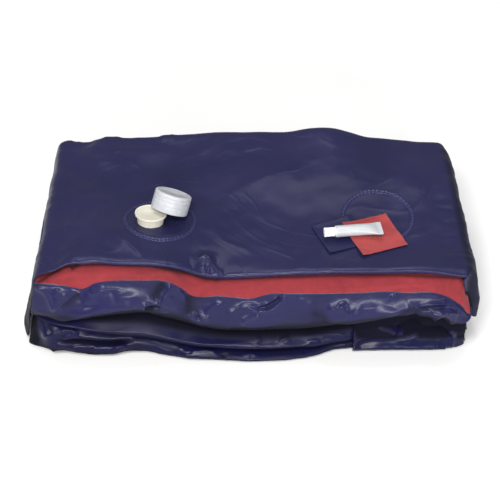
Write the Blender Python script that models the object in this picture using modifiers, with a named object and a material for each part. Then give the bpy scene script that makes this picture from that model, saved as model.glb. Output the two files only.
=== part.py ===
"""An air bed, let down and folded into a flat pile, with its valve closures and repair kit on top.

Lengths are in metres. X runs across the folded bed, Y from its front to its back and Z up.
Tables of shares follow HALF_WIDTH across, HALF_DEPTH in depth and CROWN_HEIGHT in height.
"""
import math

import bmesh
import bpy
import numpy as np
from mathutils import Matrix, Vector
from mathutils.bvhtree import BVHTree

# The folded pile
HALF_WIDTH = 0.250
HALF_DEPTH = 0.128
CROWN_HEIGHT = 0.140
SKIN = 0.0008
GAP = 0.0003
FLAP_THICKNESS = 0.008
CREASE_THICKNESS = 0.0025
END_ROUNDING = 0.0030
END_SHRINK_SHARE = 0.86
BASE_INSET_SHARE = 0.08

# Welds and coils inside the flap
WELD_RADIUS = 0.0425
WELD_BAND = 0.0050
BEAD_HEIGHT = 0.0009
DRAPE_GAP = 0.0005
COIL_RADIUS = 0.0385
COIL_PLEAT = 0.0022
COIL_WALL = 0.0009
COIL_PLEATS = 2

# Valve in the side wall at the back, and its two closures
VALVE_BORE = 0.0314
NECK_WALL = 0.0028
NECK_LENGTH = 0.0140
FLANGE_DIAMETER = 0.0500
FLANGE_THICKNESS = 0.0012
SPIDER_THICKNESS = 0.0020
SPIDER_BAR = 0.0030
CHECK_DISC_DIAMETER = 0.0300
CHECK_DISC_THICKNESS = 0.0010
CHECK_DISC_TRAVEL = 0.0025
STOPPER_CLEARANCE = 0.0004
STOPPER_FLANGE = 0.0360
STOPPER_FLANGE_THICKNESS = 0.0022
STOPPER_DEPTH = 0.0095
STOPPER_WALL = 0.0022
STOPPER_DISH = 0.0007
CAP_CLEARANCE = 0.0006
CAP_WALL = 0.0021
CAP_HEIGHT = 0.0215
CAP_TOP = 0.0022
CAP_CHAMFER = 0.0016
SEAL_THICKNESS = 0.0010

# Repair kit
BLUE_PATCH = 0.0500
RED_PATCH = 0.0560
PATCH_THICKNESS = 0.0005
TUBE_DIAMETER = 0.0135
TUBE_LENGTH = 0.0530
CRIMP_LENGTH = 0.0050
CRIMP_THICKNESS = 0.0011
SHOULDER_LENGTH = 0.0014
NOZZLE_DIAMETER = 0.0062
NOZZLE_LENGTH = 0.0090
NOZZLE_BORE = 0.0030
TUBE_CAP_DIAMETER = 0.0103
TUBE_CAP_LENGTH = 0.0120
CUT_OVERRUN = 0.0012
TUBE_CAP_RIB = 0.0003
TUBE_CAP_RIBS = 18
LINER_THICKNESS = 0.0006

# Stations across, and lines in depth, that all the folds and sheets share
STATION_SHARES = (-0.962, -0.928, -0.861, -0.780, -0.690, -0.590, -0.500, -0.410, -0.340, -0.280,
                  -0.225, -0.170, -0.100, -0.020, 0.070, 0.165, 0.260, 0.360, 0.450, 0.540, 0.630, 0.715,
                  0.800, 0.880, 0.944, 0.975, 0.998)
PANEL_START_SHARE = -0.928
PANEL_END_SHARE = 0.975
SPLAY_SHARE = 0.058
RIGHT_NARROWING_SHARE = 0.046
HINGE_SHARE = -0.861
FLAP_END_SHARE = 0.944
LINE_SHARES = (-0.75, -0.61, -0.41, -0.19, 0.03, 0.265, 0.515, 0.765, 1.0)
LOW_LINE_SHARES = (-0.75, -0.30, 0.30, 0.90)
HEM_SHARES = LINE_SHARES[:2]

# Heights of the upper surface, in rows from the front to the back
FRONT_STATION_SHARES = (-0.96, -0.86, -0.78, -0.74, -0.68, -0.58, -0.48, -0.38, -0.312, -0.256, -0.20, -0.144,
                        -0.072, 0.0, 0.1, 0.2, 0.3, 0.4, 0.5, 0.6, 0.7, 0.8, 0.88, 0.952)
FRONT_ROW_SHARES = (0.870, 0.945, 0.980, 0.980, 0.980, 0.955, 0.940, 0.925, 0.895, 0.855, 0.820, 0.805,
                    0.805, 0.815, 0.830, 0.845, 0.850, 0.855, 0.855, 0.860, 0.865, 0.860, 0.845, 0.825)
ROW_STATION_SHARES = (-0.86, -0.68, -0.48, -0.30, -0.18, 0.0, 0.2, 0.4, 0.6, 0.8, 0.952)
ROW_LINE_SHARES = (-0.75, -0.39, 0.0, 0.43, 1.0)
ROW_SHARES = ((0.915, 0.955, 0.940, 0.900, 0.870, 0.845, 0.840, 0.830, 0.815, 0.815, 0.800),
              (0.880, 0.895, 0.868, 0.868, 0.870, 0.865, 0.855, 0.845, 0.835, 0.830, 0.815),
              (0.850, 0.865, 0.858, 0.880, 0.895, 0.905, 0.915, 0.915, 0.885, 0.870, 0.835),
              (0.800, 0.865, 0.890, 0.905, 0.920, 0.930, 0.945, 0.985, 0.880, 0.845, 0.815))

# Heights of the lines along the front, at FRONT_STATION_SHARES
SEAM_SHARES = (0.820, 0.805, 0.770, 0.755, 0.820, 0.850, 0.850, 0.845, 0.780, 0.680, 0.670, 0.680,
               0.665, 0.650, 0.705, 0.705, 0.705, 0.710, 0.715, 0.730, 0.715, 0.720, 0.670, 0.570)
BAND_FOOT_SHARES = (0.470, 0.465, 0.470, 0.480, 0.495, 0.520, 0.530, 0.465, 0.420, 0.395, 0.365, 0.345,
                    0.330, 0.330, 0.325, 0.330, 0.345, 0.370, 0.400, 0.435, 0.450, 0.425, 0.430, 0.400)
ROLL_FOOT_SHARES = (0.400, 0.365, 0.335, 0.305, 0.270, 0.230, 0.205, 0.180, 0.160, 0.145, 0.130, 0.120,
                    0.100, 0.090, 0.090, 0.095, 0.095, 0.105, 0.115, 0.130, 0.145, 0.150, 0.155, 0.155)
BAND_BACK_SHARE = 0.375
ROLL_BACK_SHARE = 0.160

# Places of the folds' noses in depth
TIP_STATION_SHARES = (-1.018, -0.972, -0.928, -0.86, -0.68, -0.48, -0.38, -0.256, -0.072, 0.1, 0.2, 0.3, 0.4, 0.6, 0.8, 0.95)
UNDER_TIP_SHARES = (-0.70, -0.79, -0.90, -0.925, -0.920, -0.91, -0.935, -0.985, -1.005, -1.00, -0.985,
                    -0.935, -0.860, -0.825, -0.825, -0.80)
ROLL_TIP_SHARES = (-0.80, -0.86, -0.92, -0.960, -0.970, -0.975, -0.980, -0.990, -0.990, -0.985, -0.975,
                   -0.960, -0.920, -0.905, -0.900, -0.88)
BAND_TIP_SHARES = (-0.90, -0.91, -0.93, -0.970, -0.985, -0.990, -0.985, -0.975, -0.985, -0.985, -0.985,
                   -0.985, -0.985, -0.985, -0.975, -0.95)
UNDER_BACK_SHARES = (0.80, 0.92, 1.00, 1.02, 1.02, 1.02, 1.02, 1.02, 1.02, 1.02, 1.02, 1.02, 1.02, 1.02, 1.00, 0.95)
ROLL_BACK_TIP_SHARE = 1.045
BAND_BACK_TIP_SHARE = 1.060
FLAP_FRONT_SHARES = (-0.860, -0.850, -0.830, -0.845, -0.812, -0.797, -0.797, -0.797, -0.797, -0.797, -0.797,
                     -0.797, -0.797, -0.797, -0.800, -0.815)
FLAP_BACK_TIP_SHARE = 1.072
SEAM_LINE_SHARE = -0.910
STRIP_LINE_SHARE = -0.830
STRIP_CROWN_SHARE = 0.015

# Main creases pressed into the side band's front: x, z, x, z, depth and width
BAND_CREASE_SHARES = ((-0.875, 0.565, -0.783, 0.800, 0.030, 0.035), (-0.875, 0.565, -0.700, 0.545, 0.025, 0.030),
                      (-0.345, 0.860, -0.395, 0.590, 0.030, 0.035), (-0.395, 0.590, -0.475, 0.640, 0.025, 0.030),
                      (-0.275, 0.640, -0.278, 0.470, 0.045, 0.055), (-0.040, 0.610, 0.055, 0.550, 0.022, 0.030),
                      (0.055, 0.550, 0.160, 0.680, 0.022, 0.030), (0.600, 0.480, 0.860, 0.480, 0.050, 0.055))
LOWER_CREASE_SHARES = ((-1.000, 0.150, -0.560, 0.060, 0.055, 0.050), (-0.930, 0.290, -0.640, 0.130, 0.045, 0.040))

# Sides of the pile, outward from where the flap ends, and down
WALL_PATH_SHARES = ((0.050, 0.006), (0.085, 0.045), (0.103, 0.125), (0.128, 0.400), (0.150, 0.580),
                    (0.178, 0.760), (0.205, 0.965))
DRAPE_PATH_SHARES = ((0.036, 0.012), (0.066, 0.055), (0.084, 0.130), (0.097, 0.330), (0.105, 0.480), (0.100, 0.600))
WALL_LINE_SHARES = (-0.83, -0.75, -0.61, -0.41, -0.19, 0.03, 0.265, 0.515, 0.765, 1.0, 1.06)
WALL_SWEEP_SHARES = (0.20, 0.18, 0.13, 0.08, 0.0, 0.0, 0.0, -0.02, -0.08, -0.18, -0.20)
WALL_LEAN_SHARES = (0.97, 0.98, 0.98, 0.96, 0.94, 0.92, 0.90, 0.89, 0.88, 0.87, 0.86)
DRAPE_LINE_SHARES = (-0.80, -0.75, -0.61, -0.41, -0.19, 0.03, 0.265, 0.515, 0.765, 1.0, 1.05)
DRAPE_SWEEP_SHARES = (0.04, 0.02, 0.0, 0.0, 0.0, 0.0, 0.0, 0.0, -0.02, -0.06, -0.10)
DRAPE_LEAN_SHARES = (0.75, 0.86, 1.0, 1.0, 1.0, 1.0, 1.0, 1.0, 0.98, 0.88, 0.80)
DRAPE_DROP_SHARES = (0.78, 0.95, 1.0, 1.0, 1.0, 1.0, 1.0, 1.0, 1.0, 1.0, 0.92)

# Loose sheet that laps round the lower right front
LAP_START_SHARE = 0.375
LAP_END_SHARE = 0.975
LAP_STATIONS = 10
LAP_TUCK_SHARE = 0.040
LAP_FOOT_SHARE = 0.012
LAP_ROWS = 8

# Where the things on the flap lie, in shares of the half width and half depth
LEFT_WELD_SHARES = (-0.413, -0.185)
RIGHT_WELD_SHARES = (0.589, -0.060)
STOPPER_SHARES = (-0.454, -0.215)
CAP_SHARES = (-0.371, -0.115)
CAP_LEAN_DIRECTION = 58.0
BLUE_PATCH_SHARES = (0.412, -0.305)
BLUE_PATCH_TURN = 22.5
RED_PATCH_SHARES = (0.568, -0.305)
RED_PATCH_TURN = 23.0
TUBE_SHARES = (0.460, -0.325)
TUBE_TURN = 8.0
VALVE_SHARE = -0.600

# Between which angles, in radians, the leaning pieces are tipped until they bear
CAP_TIPPING = (0.0, 0.7)
TUBE_TIPPING = (-0.2, 0.3)
TIPPING_STEPS = 14


def clear_scene():
    """Removes what a new Blender file holds."""
    for thing in list(bpy.data.objects):
        bpy.data.objects.remove(thing)


def collection(name):
    """A collection of the scene."""
    made = bpy.data.collections.new(name)
    bpy.context.scene.collection.children.link(made)
    return made


def material(name, colour, roughness):
    """A plain opaque material."""
    made = bpy.data.materials.new(name)
    made.use_nodes = True
    shader = made.node_tree.nodes["Principled BSDF"]
    shader.inputs["Base Color"].default_value = (*colour, 1.0)
    shader.inputs["Roughness"].default_value = roughness
    shader.inputs["Metallic"].default_value = 0.0
    return made


def curve(at, stations, values):
    """The height at one place of a smooth curve through values at uneven stations."""
    at = min(max(at, stations[0]), stations[-1])
    i = min(int(np.searchsorted(stations, at, side="right")) - 1, len(stations) - 2)
    step = stations[i + 1] - stations[i]
    slopes = []
    for k in (i, i + 1):
        before, after = max(k - 1, 0), min(k + 1, len(stations) - 1)
        slopes.append((values[after] - values[before]) / (stations[after] - stations[before]) * step)
    t = (at - stations[i]) / step
    rise = values[i + 1] - values[i]
    return values[i] + t * slopes[0] + t * t * (3 * rise - 2 * slopes[0] - slopes[1]) \
        + t ** 3 * (slopes[0] + slopes[1] - 2 * rise)


def upper(x, y):
    """Height of the pile's upper surface, on the smooth form."""
    across, deep = x / HALF_WIDTH, y / HALF_DEPTH
    rows = [curve(across, FRONT_STATION_SHARES, FRONT_ROW_SHARES)]
    rows += [curve(across, ROW_STATION_SHARES, row) for row in ROW_SHARES]
    return curve(deep, ROW_LINE_SHARES, rows) * CROWN_HEIGHT


def between_lines(x, y):
    """Height of the upper surface on the straight facets between the shared lines."""
    lines = [share * HALF_DEPTH for share in LINE_SHARES]
    y = min(max(y, lines[0]), lines[-1])
    i = min(int(np.searchsorted(lines, y, side="right")) - 1, len(lines) - 2)
    t = (y - lines[i]) / (lines[i + 1] - lines[i])
    return (1 - t) * upper(x, lines[i]) + t * upper(x, lines[i + 1])


def flap_depth(x):
    """Thickness of the flap, which is pinched at its hinge crease."""
    first = (HINGE_SHARE * HALF_WIDTH, STATION_SHARES[STATION_SHARES.index(HINGE_SHARE) + 1] * HALF_WIDTH)
    t = min(max((x - first[0]) / (first[1] - first[0]), 0.0), 1.0)
    return CREASE_THICKNESS + (FLAP_THICKNESS - CREASE_THICKNESS) * t


def edge_drop(x):
    """How far the folds under the flap fall away at the right-hand end."""
    start = FLAP_END_SHARE * HALF_WIDTH
    t = max(x - start, 0.0) / (STATION_SHARES[-1] * HALF_WIDTH - start)
    return 2 * FLAP_THICKNESS * t * t


def front_height(x, shares):
    """Height of one of the lines along the front."""
    return curve(x / HALF_WIDTH, FRONT_STATION_SHARES, shares) * CROWN_HEIGHT


def level(x, y, shares, back_share):
    """Height of the plane between two folds, straight from the front to the back."""
    t = (y / HALF_DEPTH - LINE_SHARES[0]) / (LINE_SHARES[-1] - LINE_SHARES[0])
    return (1 - t) * front_height(x, shares) + t * back_share * CROWN_HEIGHT


def tip(x, shares):
    """Place in depth of a fold's nose."""
    return curve(x / HALF_WIDTH, TIP_STATION_SHARES, shares) * HALF_DEPTH


def crease(x, z, shares):
    """How deep the creases press a front in at one place."""
    deep = 0.0
    for x1, z1, x2, z2, depth, width in shares:
        a = np.array((x1 * HALF_WIDTH, z1 * CROWN_HEIGHT))
        b = np.array((x2 * HALF_WIDTH, z2 * CROWN_HEIGHT))
        p = np.array((x, z))
        t = min(max(float((p - a) @ (b - a) / ((b - a) @ (b - a))), 0.0), 1.0)
        away = float(np.linalg.norm(p - a - t * (b - a)))
        deep += depth * HALF_DEPTH * math.exp(-(away / (width * HALF_WIDTH)) ** 2)
    return deep


def nose(start, end, y_tip, count, squareness):
    """Points of a rounded nose between two (y, z) points, without its ends."""
    points = []
    for k in range(1, count + 1):
        angle = math.pi * (k / (count + 1) - 0.5)
        s, c = math.sin(angle), math.cos(angle)
        t = 0.5 + 0.5 * math.copysign(abs(s) ** squareness, s)
        y = start[0] + (end[0] - start[0]) * t
        points.append((y + (y_tip - y) * c ** squareness, start[1] + (end[1] - start[1]) * t))
    return points


def finish(bm, name, skin, smooth_angle=40.0):
    """Makes an object of a mesh and puts it in the bed's collection."""
    bmesh.ops.recalc_face_normals(bm, faces=bm.faces)
    mesh = bpy.data.meshes.new(name)
    bm.to_mesh(mesh)
    bm.free()
    mesh.shade_smooth()
    mesh.set_sharp_from_angle(angle=math.radians(smooth_angle))
    mesh.materials.append(skin)
    thing = bpy.data.objects.new(name, mesh)
    BED.objects.link(thing)
    return thing


def join_rings(bm, rings, capped):
    """Triangles between rings of points. A quad's diagonal runs from its nearer point at the
    first ring to its further point at the next, so that neighbouring sheets share their facets."""
    made = [[bm.verts.new(p) for p in ring] for ring in rings]
    for first, second in zip(made, made[1:]):
        for j in range(len(first)):
            a, b = first[j], first[(j + 1) % len(first)]
            c, d = second[j], second[(j + 1) % len(second)]
            if a.co.y < b.co.y:
                bm.faces.new((a, b, d))
                bm.faces.new((a, d, c))
            else:
                bm.faces.new((a, b, c))
                bm.faces.new((b, d, c))
    for ring in (made[0], made[-1]):
        if capped == "strip":
            half = len(ring) // 2
            for j in range(half - 1):
                bm.faces.new((ring[j], ring[j + 1], ring[-2 - j], ring[-1 - j]))
        else:
            centre = bm.verts.new(sum((v.co for v in ring), Vector()) / len(ring))
            for j in range(len(ring)):
                bm.faces.new((ring[j], ring[(j + 1) % len(ring)], centre))


def fold(name, rings, skin):
    """A folded thickness of the bed, lofted across the pile, with rounded ends."""
    for index, outward in ((0, -1), (-1, 1)):
        ring = rings[index]
        centre = sum(ring, Vector()) / len(ring)
        small = [centre + (p - centre) * END_SHRINK_SHARE + Vector((outward * END_ROUNDING, 0, 0)) for p in ring]
        rings = [small] + rings if outward < 0 else rings + [small]
    bm = bmesh.new()
    join_rings(bm, rings, "fan")
    return finish(bm, name, skin)


def sheet(name, outer, inner, skin):
    """A sheet between rows of outer points and the rows of inner points behind them."""
    bm = bmesh.new()
    join_rings(bm, [a + b[::-1] for a, b in zip(outer, inner)], "strip")
    return finish(bm, name, skin)


def stations(first=-2.0, last=2.0):
    """The shared places across, from one share to another."""
    return [share * HALF_WIDTH for share in STATION_SHARES if first - 0.0001 < share < last + 0.0001]


def lines(shares=LINE_SHARES):
    """The shared places in depth."""
    return [share * HALF_DEPTH for share in shares]


def narrowed(x, y):
    """Place across, drawn in towards the back on the right-hand side."""
    return x * (1 - RIGHT_NARROWING_SHARE * (y / HALF_DEPTH + 1) / 2) if x > 0 else x


def spread(x, points):
    """Points of a section put at their place across."""
    return [Vector((narrowed(x, y), y, z)) for y, z in points]


def underside_fold(skin):
    """The lowest fold, flat on the floor."""
    rings = []
    for x in stations():
        low = lines(LOW_LINE_SHARES)
        y_front, y_back = tip(x, UNDER_TIP_SHARES), tip(x, UNDER_BACK_SHARES)
        low[0] = max(low[0], y_front + BASE_INSET_SHARE * HALF_DEPTH)
        low[-1] = min(low[-1], y_back - BASE_INSET_SHARE * HALF_DEPTH)
        top = [(y, level(x, y, ROLL_FOOT_SHARES, ROLL_BACK_SHARE) - GAP / 2) for y in low]
        front = nose((low[0], 0.0), top[0], y_front, 6, 0.40)
        front = [(y + crease(x, z, LOWER_CREASE_SHARES), z) for y, z in front]
        back = nose((low[-1], 0.0), top[-1], y_back, 3, 0.6)
        bottom = [(low[0], 0.0), (low[-1], 0.0)]
        rings.append(spread(x, bottom + back + top[::-1] + front[::-1]))
    height = max(p.z for p in rings[0])
    for p in rings[0]:
        p.x -= SPLAY_SHARE * HALF_WIDTH * (1 - p.z / height)
    return fold("underside_fold", rings, skin)


def middle_roll(skin):
    """The rolled fold between the lowest fold and the side band."""
    rings = []
    for x in stations():
        low = lines(LOW_LINE_SHARES)
        bottom = [(y, level(x, y, ROLL_FOOT_SHARES, ROLL_BACK_SHARE) + GAP / 2) for y in low]
        top = [(y, level(x, y, BAND_FOOT_SHARES, BAND_BACK_SHARE) - GAP / 2) for y in low]
        front = nose(bottom[0], top[0], tip(x, ROLL_TIP_SHARES), 7, 0.6)
        back = nose(bottom[-1], top[-1], ROLL_BACK_TIP_SHARE * HALF_DEPTH, 3, 0.6)
        rings.append(spread(x, bottom + back + top[::-1] + front[::-1]))
    return fold("middle_roll", rings, skin)


def strip_points(x, under):
    """The red strip's slope, from under the flap down to the seam, at a depth below its top."""
    y_top, y_mid, y_seam = (share * HALF_DEPTH for share in (LINE_SHARES[0], STRIP_LINE_SHARE, SEAM_LINE_SHARE))
    z_top = upper(x, y_top) - FLAP_THICKNESS - GAP - edge_drop(x)
    z_seam = min(front_height(x, SEAM_SHARES), z_top)
    t = (y_mid - y_top) / (y_seam - y_top)
    z_mid = z_top + (z_seam - z_top) * t + STRIP_CROWN_SHARE * CROWN_HEIGHT
    z_mid = min(z_mid, z_top)
    return [(y_mid, z_mid - under), (y_seam, z_seam - under)]


def side_band(skin):
    """The top fold, whose blue side wall shows as the creased band along the front."""
    rings = []
    for x in stations(PANEL_START_SHARE):
        low, high = lines(LOW_LINE_SHARES), lines()
        under = SKIN + GAP
        bottom = [(y, level(x, y, BAND_FOOT_SHARES, BAND_BACK_SHARE) + GAP / 2) for y in low]
        top = [(y, upper(x, y) - FLAP_THICKNESS - GAP - edge_drop(x) - under) for y in high]
        strip = strip_points(x, under)
        front = nose(bottom[0], strip[-1], tip(x, BAND_TIP_SHARES), 9, 0.5)
        front = [(y + crease(x, z, BAND_CREASE_SHARES), z) for y, z in front]
        back = nose(bottom[-1], top[-1], BAND_BACK_TIP_SHARE * HALF_DEPTH, 4, 0.3)
        rings.append(spread(x, bottom + back + top[::-1] + strip + front[::-1]))
    return fold("side_band_fold", rings, skin)


def flocked_panel(skin):
    """The red flocked sleeping side over the top fold, down to its seam."""
    outer, inner = [], []
    for x in stations(PANEL_START_SHARE, PANEL_END_SHARE):
        top = [(y, upper(x, y) - FLAP_THICKNESS - GAP - edge_drop(x)) for y in lines()]
        outer.append(spread(x, strip_points(x, 0.0)[::-1] + top))
        inner.append(spread(x, strip_points(x, SKIN)[::-1] + [(y, z - SKIN) for y, z in top]))
    return sheet("flocked_panel", outer, inner, skin)


def flap_section(x, inset):
    """The flap skin's section, from its front hem round over the top to its back hem."""
    y_lines = lines()
    depth = flap_depth(x)
    top = [(y, upper(x, y) - inset) for y in y_lines]
    hem = [(y, upper(x, y) - depth + inset) for y in y_lines]
    y_front = tip(x, FLAP_FRONT_SHARES) + inset
    y_back = FLAP_BACK_TIP_SHARE * HALF_DEPTH - inset
    front = nose(hem[0], top[0], y_front, 3, 0.8)
    back = nose(top[-1], hem[-1], y_back, 3, 0.8)
    count = len(HEM_SHARES)
    return hem[:count][::-1] + front + top + back + hem[-count:][::-1]


def flap_skin(skin):
    """The blue outer skin of the fold-over flap, hemmed round its front and back edges."""
    places = stations(HINGE_SHARE, FLAP_END_SHARE)
    outer = [spread(x, flap_section(x, 0.0)) for x in places]
    inner = [spread(x, flap_section(x, SKIN)) for x in places]
    return sheet("flap_skin", outer, inner, skin)


def flap_lining(skin):
    """The red flocked inner face of the flap, between the hems."""
    y_lines = lines()[len(HEM_SHARES) - 1:1 - len(HEM_SHARES)]
    y_lines[0] += 2 * GAP
    y_lines[-1] -= 2 * GAP
    upper_rows, lower_rows = [], []
    for x in stations(STATION_SHARES[STATION_SHARES.index(HINGE_SHARE) + 1], FLAP_END_SHARE):
        low = [(y, between_lines(x, y) - FLAP_THICKNESS) for y in y_lines]
        lower_rows.append(spread(x, low))
        upper_rows.append(spread(x, [(y, z + SKIN) for y, z in low]))
    return sheet("flap_lining", upper_rows, lower_rows, skin)


def hanging_sheet(name, side, start_share, path, line_shares, sweeps, leans, drops, skin):
    """A sheet that turns down at one side of the pile. Its section runs outward and down."""
    start = start_share * HALF_WIDTH + side * GAP
    outer, inner = [], []
    for share, sweep, lean, drop in zip(line_shares, sweeps, leans, drops):
        y = share * HALF_DEPTH
        z_top = upper(start_share * HALF_WIDTH, min(max(y, lines()[0]), lines()[-1]))
        points = [Vector((narrowed(start, y), y, z_top))]
        for out, down in path:
            fall = down * drop * z_top
            y_here = y + sweep * down * HALF_DEPTH
            x_here = narrowed(start + side * out * lean * HALF_WIDTH, y_here)
            points.append(Vector((x_here, y_here, z_top - fall)))
        outer.append(points)
        behind = []
        for k, p in enumerate(points):
            before, after = points[max(k - 1, 0)], points[min(k + 1, len(points) - 1)]
            along = (after - before).normalized()
            inward = Vector((-side * abs(along.z), 0, -abs(along.x))).normalized()
            behind.append(p + (Vector((0, 0, -1)) if k == 0 else inward) * SKIN)
        inner.append(behind)
    if side < 0:
        outer, inner = outer[::-1], inner[::-1]
    return sheet(name, outer, inner, skin)


def left_wall(skin):
    """The blue skin that runs on from the hinge crease down the left side."""
    even = (1.0,) * len(WALL_LINE_SHARES)
    return hanging_sheet("left_wall", -1, HINGE_SHARE, WALL_PATH_SHARES, WALL_LINE_SHARES,
                         WALL_SWEEP_SHARES, WALL_LEAN_SHARES, even, skin)


def flap_drape(skin):
    """The flap's end, hanging down over the right side."""
    return hanging_sheet("flap_drape", 1, FLAP_END_SHARE, DRAPE_PATH_SHARES, DRAPE_LINE_SHARES,
                         DRAPE_SWEEP_SHARES, DRAPE_LEAN_SHARES, DRAPE_DROP_SHARES, skin)


def tree_of(thing):
    """The thing's surface in world space, for finding where others touch it."""
    points = [thing.matrix_world @ v.co for v in thing.data.vertices]
    return BVHTree.FromPolygons(points, [tuple(p.vertices) for p in thing.data.polygons])


def right_lap(skin, behind):
    """The loose sheet lapped round the lower right front, just clear of the folds behind it."""
    trees = [tree_of(thing) for thing in behind]
    first, last = LAP_START_SHARE * HALF_WIDTH, LAP_END_SHARE * HALF_WIDTH
    foot = LAP_FOOT_SHARE * CROWN_HEIGHT
    reach = 2 * HALF_DEPTH
    outer, inner = [], []
    for i in range(LAP_STATIONS):
        x = first + (last - first) * i / (LAP_STATIONS - 1)
        head = front_height(x, BAND_FOOT_SHARES) - LAP_TUCK_SHARE * CROWN_HEIGHT
        rise = (head - foot) / (LAP_ROWS - 1)
        fronts = []
        for j in range(LAP_ROWS):
            near = []
            for dx in (-rise, 0.0, rise):
                for dz in (-rise, 0.0, rise):
                    eye = Vector((x + dx, -reach, max(foot + rise * j + dz, GAP)))
                    hits = [tree.ray_cast(eye, Vector((0, 1, 0)))[0] for tree in trees]
                    near += [hit.y for hit in hits if hit is not None]
            fronts.append(min(near) - 2 * GAP)
        inner.append([Vector((x, y, foot + rise * j)) for j, y in enumerate(fronts)])
        outer.append([Vector((x, y - SKIN, foot + rise * j)) for j, y in enumerate(fronts)])
    return sheet("right_lap_sheet", outer, inner, skin)


def on_surface(tree, x, y):
    """Height of a surface straight under a place."""
    hit = tree.ray_cast(Vector((x, y, 2 * CROWN_HEIGHT)), Vector((0, 0, -1)))[0]
    return hit.z if hit is not None else 0.0


def draped_turning(name, centre, profile, segments, tree, skin):
    """A turned form whose profile of (radius, height) points rides on a surface."""
    rings = []
    for k in range(segments):
        angle = 2 * math.pi * k / segments
        ring = []
        for radius, height in profile:
            x, y = centre[0] + radius * math.cos(angle), centre[1] + radius * math.sin(angle)
            ring.append(Vector((x, y, on_surface(tree, x, y) + height)))
        rings.append(ring)
    bm = bmesh.new()
    made = [[bm.verts.new(p) for p in ring] for ring in rings]
    for k in range(segments):
        first, second = made[k], made[(k + 1) % segments]
        for j in range(len(profile)):
            i = (j + 1) % len(profile)
            bm.faces.new((first[j], first[i], second[i], second[j]))
    return finish(bm, name, skin)


def weld_ring(name, shares, tree, skin):
    """A coil's end weld: a flat ring with a raised bead along each edge."""
    centre = (shares[0] * HALF_WIDTH, shares[1] * HALF_DEPTH)
    r_out, r_in = WELD_RADIUS, WELD_RADIUS - WELD_BAND
    bead = WELD_BAND / 4
    low, high = DRAPE_GAP + BEAD_HEIGHT / 2, DRAPE_GAP + BEAD_HEIGHT
    profile = [(r_out, DRAPE_GAP), (r_out - bead / 2, high), (r_out - bead, low), (r_in + bead, low),
               (r_in + bead / 2, high), (r_in, DRAPE_GAP)]
    return draped_turning(name, centre, profile, 36, tree, skin)


def air_coil(name, shares, tree, skin):
    """A let-down coil: the pleated vinyl tube that ties the flap's two sheets together."""
    centre = (shares[0] * HALF_WIDTH, shares[1] * HALF_DEPTH)
    top, bottom = -SKIN - DRAPE_GAP, -FLAP_THICKNESS + SKIN + DRAPE_GAP
    steps = 2 * COIL_PLEATS
    outside = []
    for k in range(steps + 1):
        height = top + (bottom - top) * k / steps
        outside.append((COIL_RADIUS + (COIL_PLEAT if k % 2 == 0 else -COIL_PLEAT), height))
    inside = [(radius - COIL_WALL, height) for radius, height in outside[::-1]]
    return draped_turning(name, centre, outside + inside, 28, tree, skin)


def turned(name, profile, segments, skin):
    """A solid turned about Z, from a closed profile of (radius, height) points whose outer side
    runs down from the top."""
    mesh = bpy.data.meshes.new(name)
    on_axis = profile[0][0] == 0.0
    edges = [(k, k + 1) for k in range(len(profile) - 1)]
    if not on_axis:
        edges.append((len(profile) - 1, 0))
    mesh.from_pydata([(radius, 0.0, height) for radius, height in profile], edges, [])
    thing = bpy.data.objects.new(name, mesh)
    BED.objects.link(thing)
    screw = thing.modifiers.new("turn", "SCREW")
    screw.axis = "Z"
    screw.steps = segments
    screw.render_steps = segments
    screw.use_merge_vertices = True
    screw.merge_threshold = 0.00001
    screw.use_normal_calculate = True
    made = bpy.data.meshes.new_from_object(thing.evaluated_get(bpy.context.evaluated_depsgraph_get()))
    bpy.data.objects.remove(thing)
    bm = bmesh.new()
    bm.from_mesh(made)
    bmesh.ops.remove_doubles(bm, verts=bm.verts, dist=0.00001)
    return finish(bm, name, skin)


def cut(thing, cutter):
    """Cuts one mesh with another and applies the cut."""
    CUTTERS.objects.link(cutter)
    BED.objects.unlink(cutter)
    cutter.hide_render = True
    cutter.display_type = "WIRE"
    boolean = thing.modifiers.new("cut", "BOOLEAN")
    boolean.object = cutter
    boolean.operation = "DIFFERENCE"
    boolean.solver = "EXACT"
    return thing


def valve_axis():
    """The valve's axis meets the back of the side band here, and points to the back."""
    x = VALVE_SHARE * HALF_WIDTH
    y = BAND_BACK_TIP_SHARE * HALF_DEPTH
    low = BAND_BACK_SHARE * CROWN_HEIGHT
    high = upper(x, lines()[-1]) - FLAP_THICKNESS
    return Vector((x, y, (low + high) / 2))


def face_back(thing, place):
    """Turns a piece made about Z so that its top faces the back."""
    thing.matrix_world = Matrix.Translation(place) @ Matrix.Rotation(math.radians(-90), 4, "X")
    return thing


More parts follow.
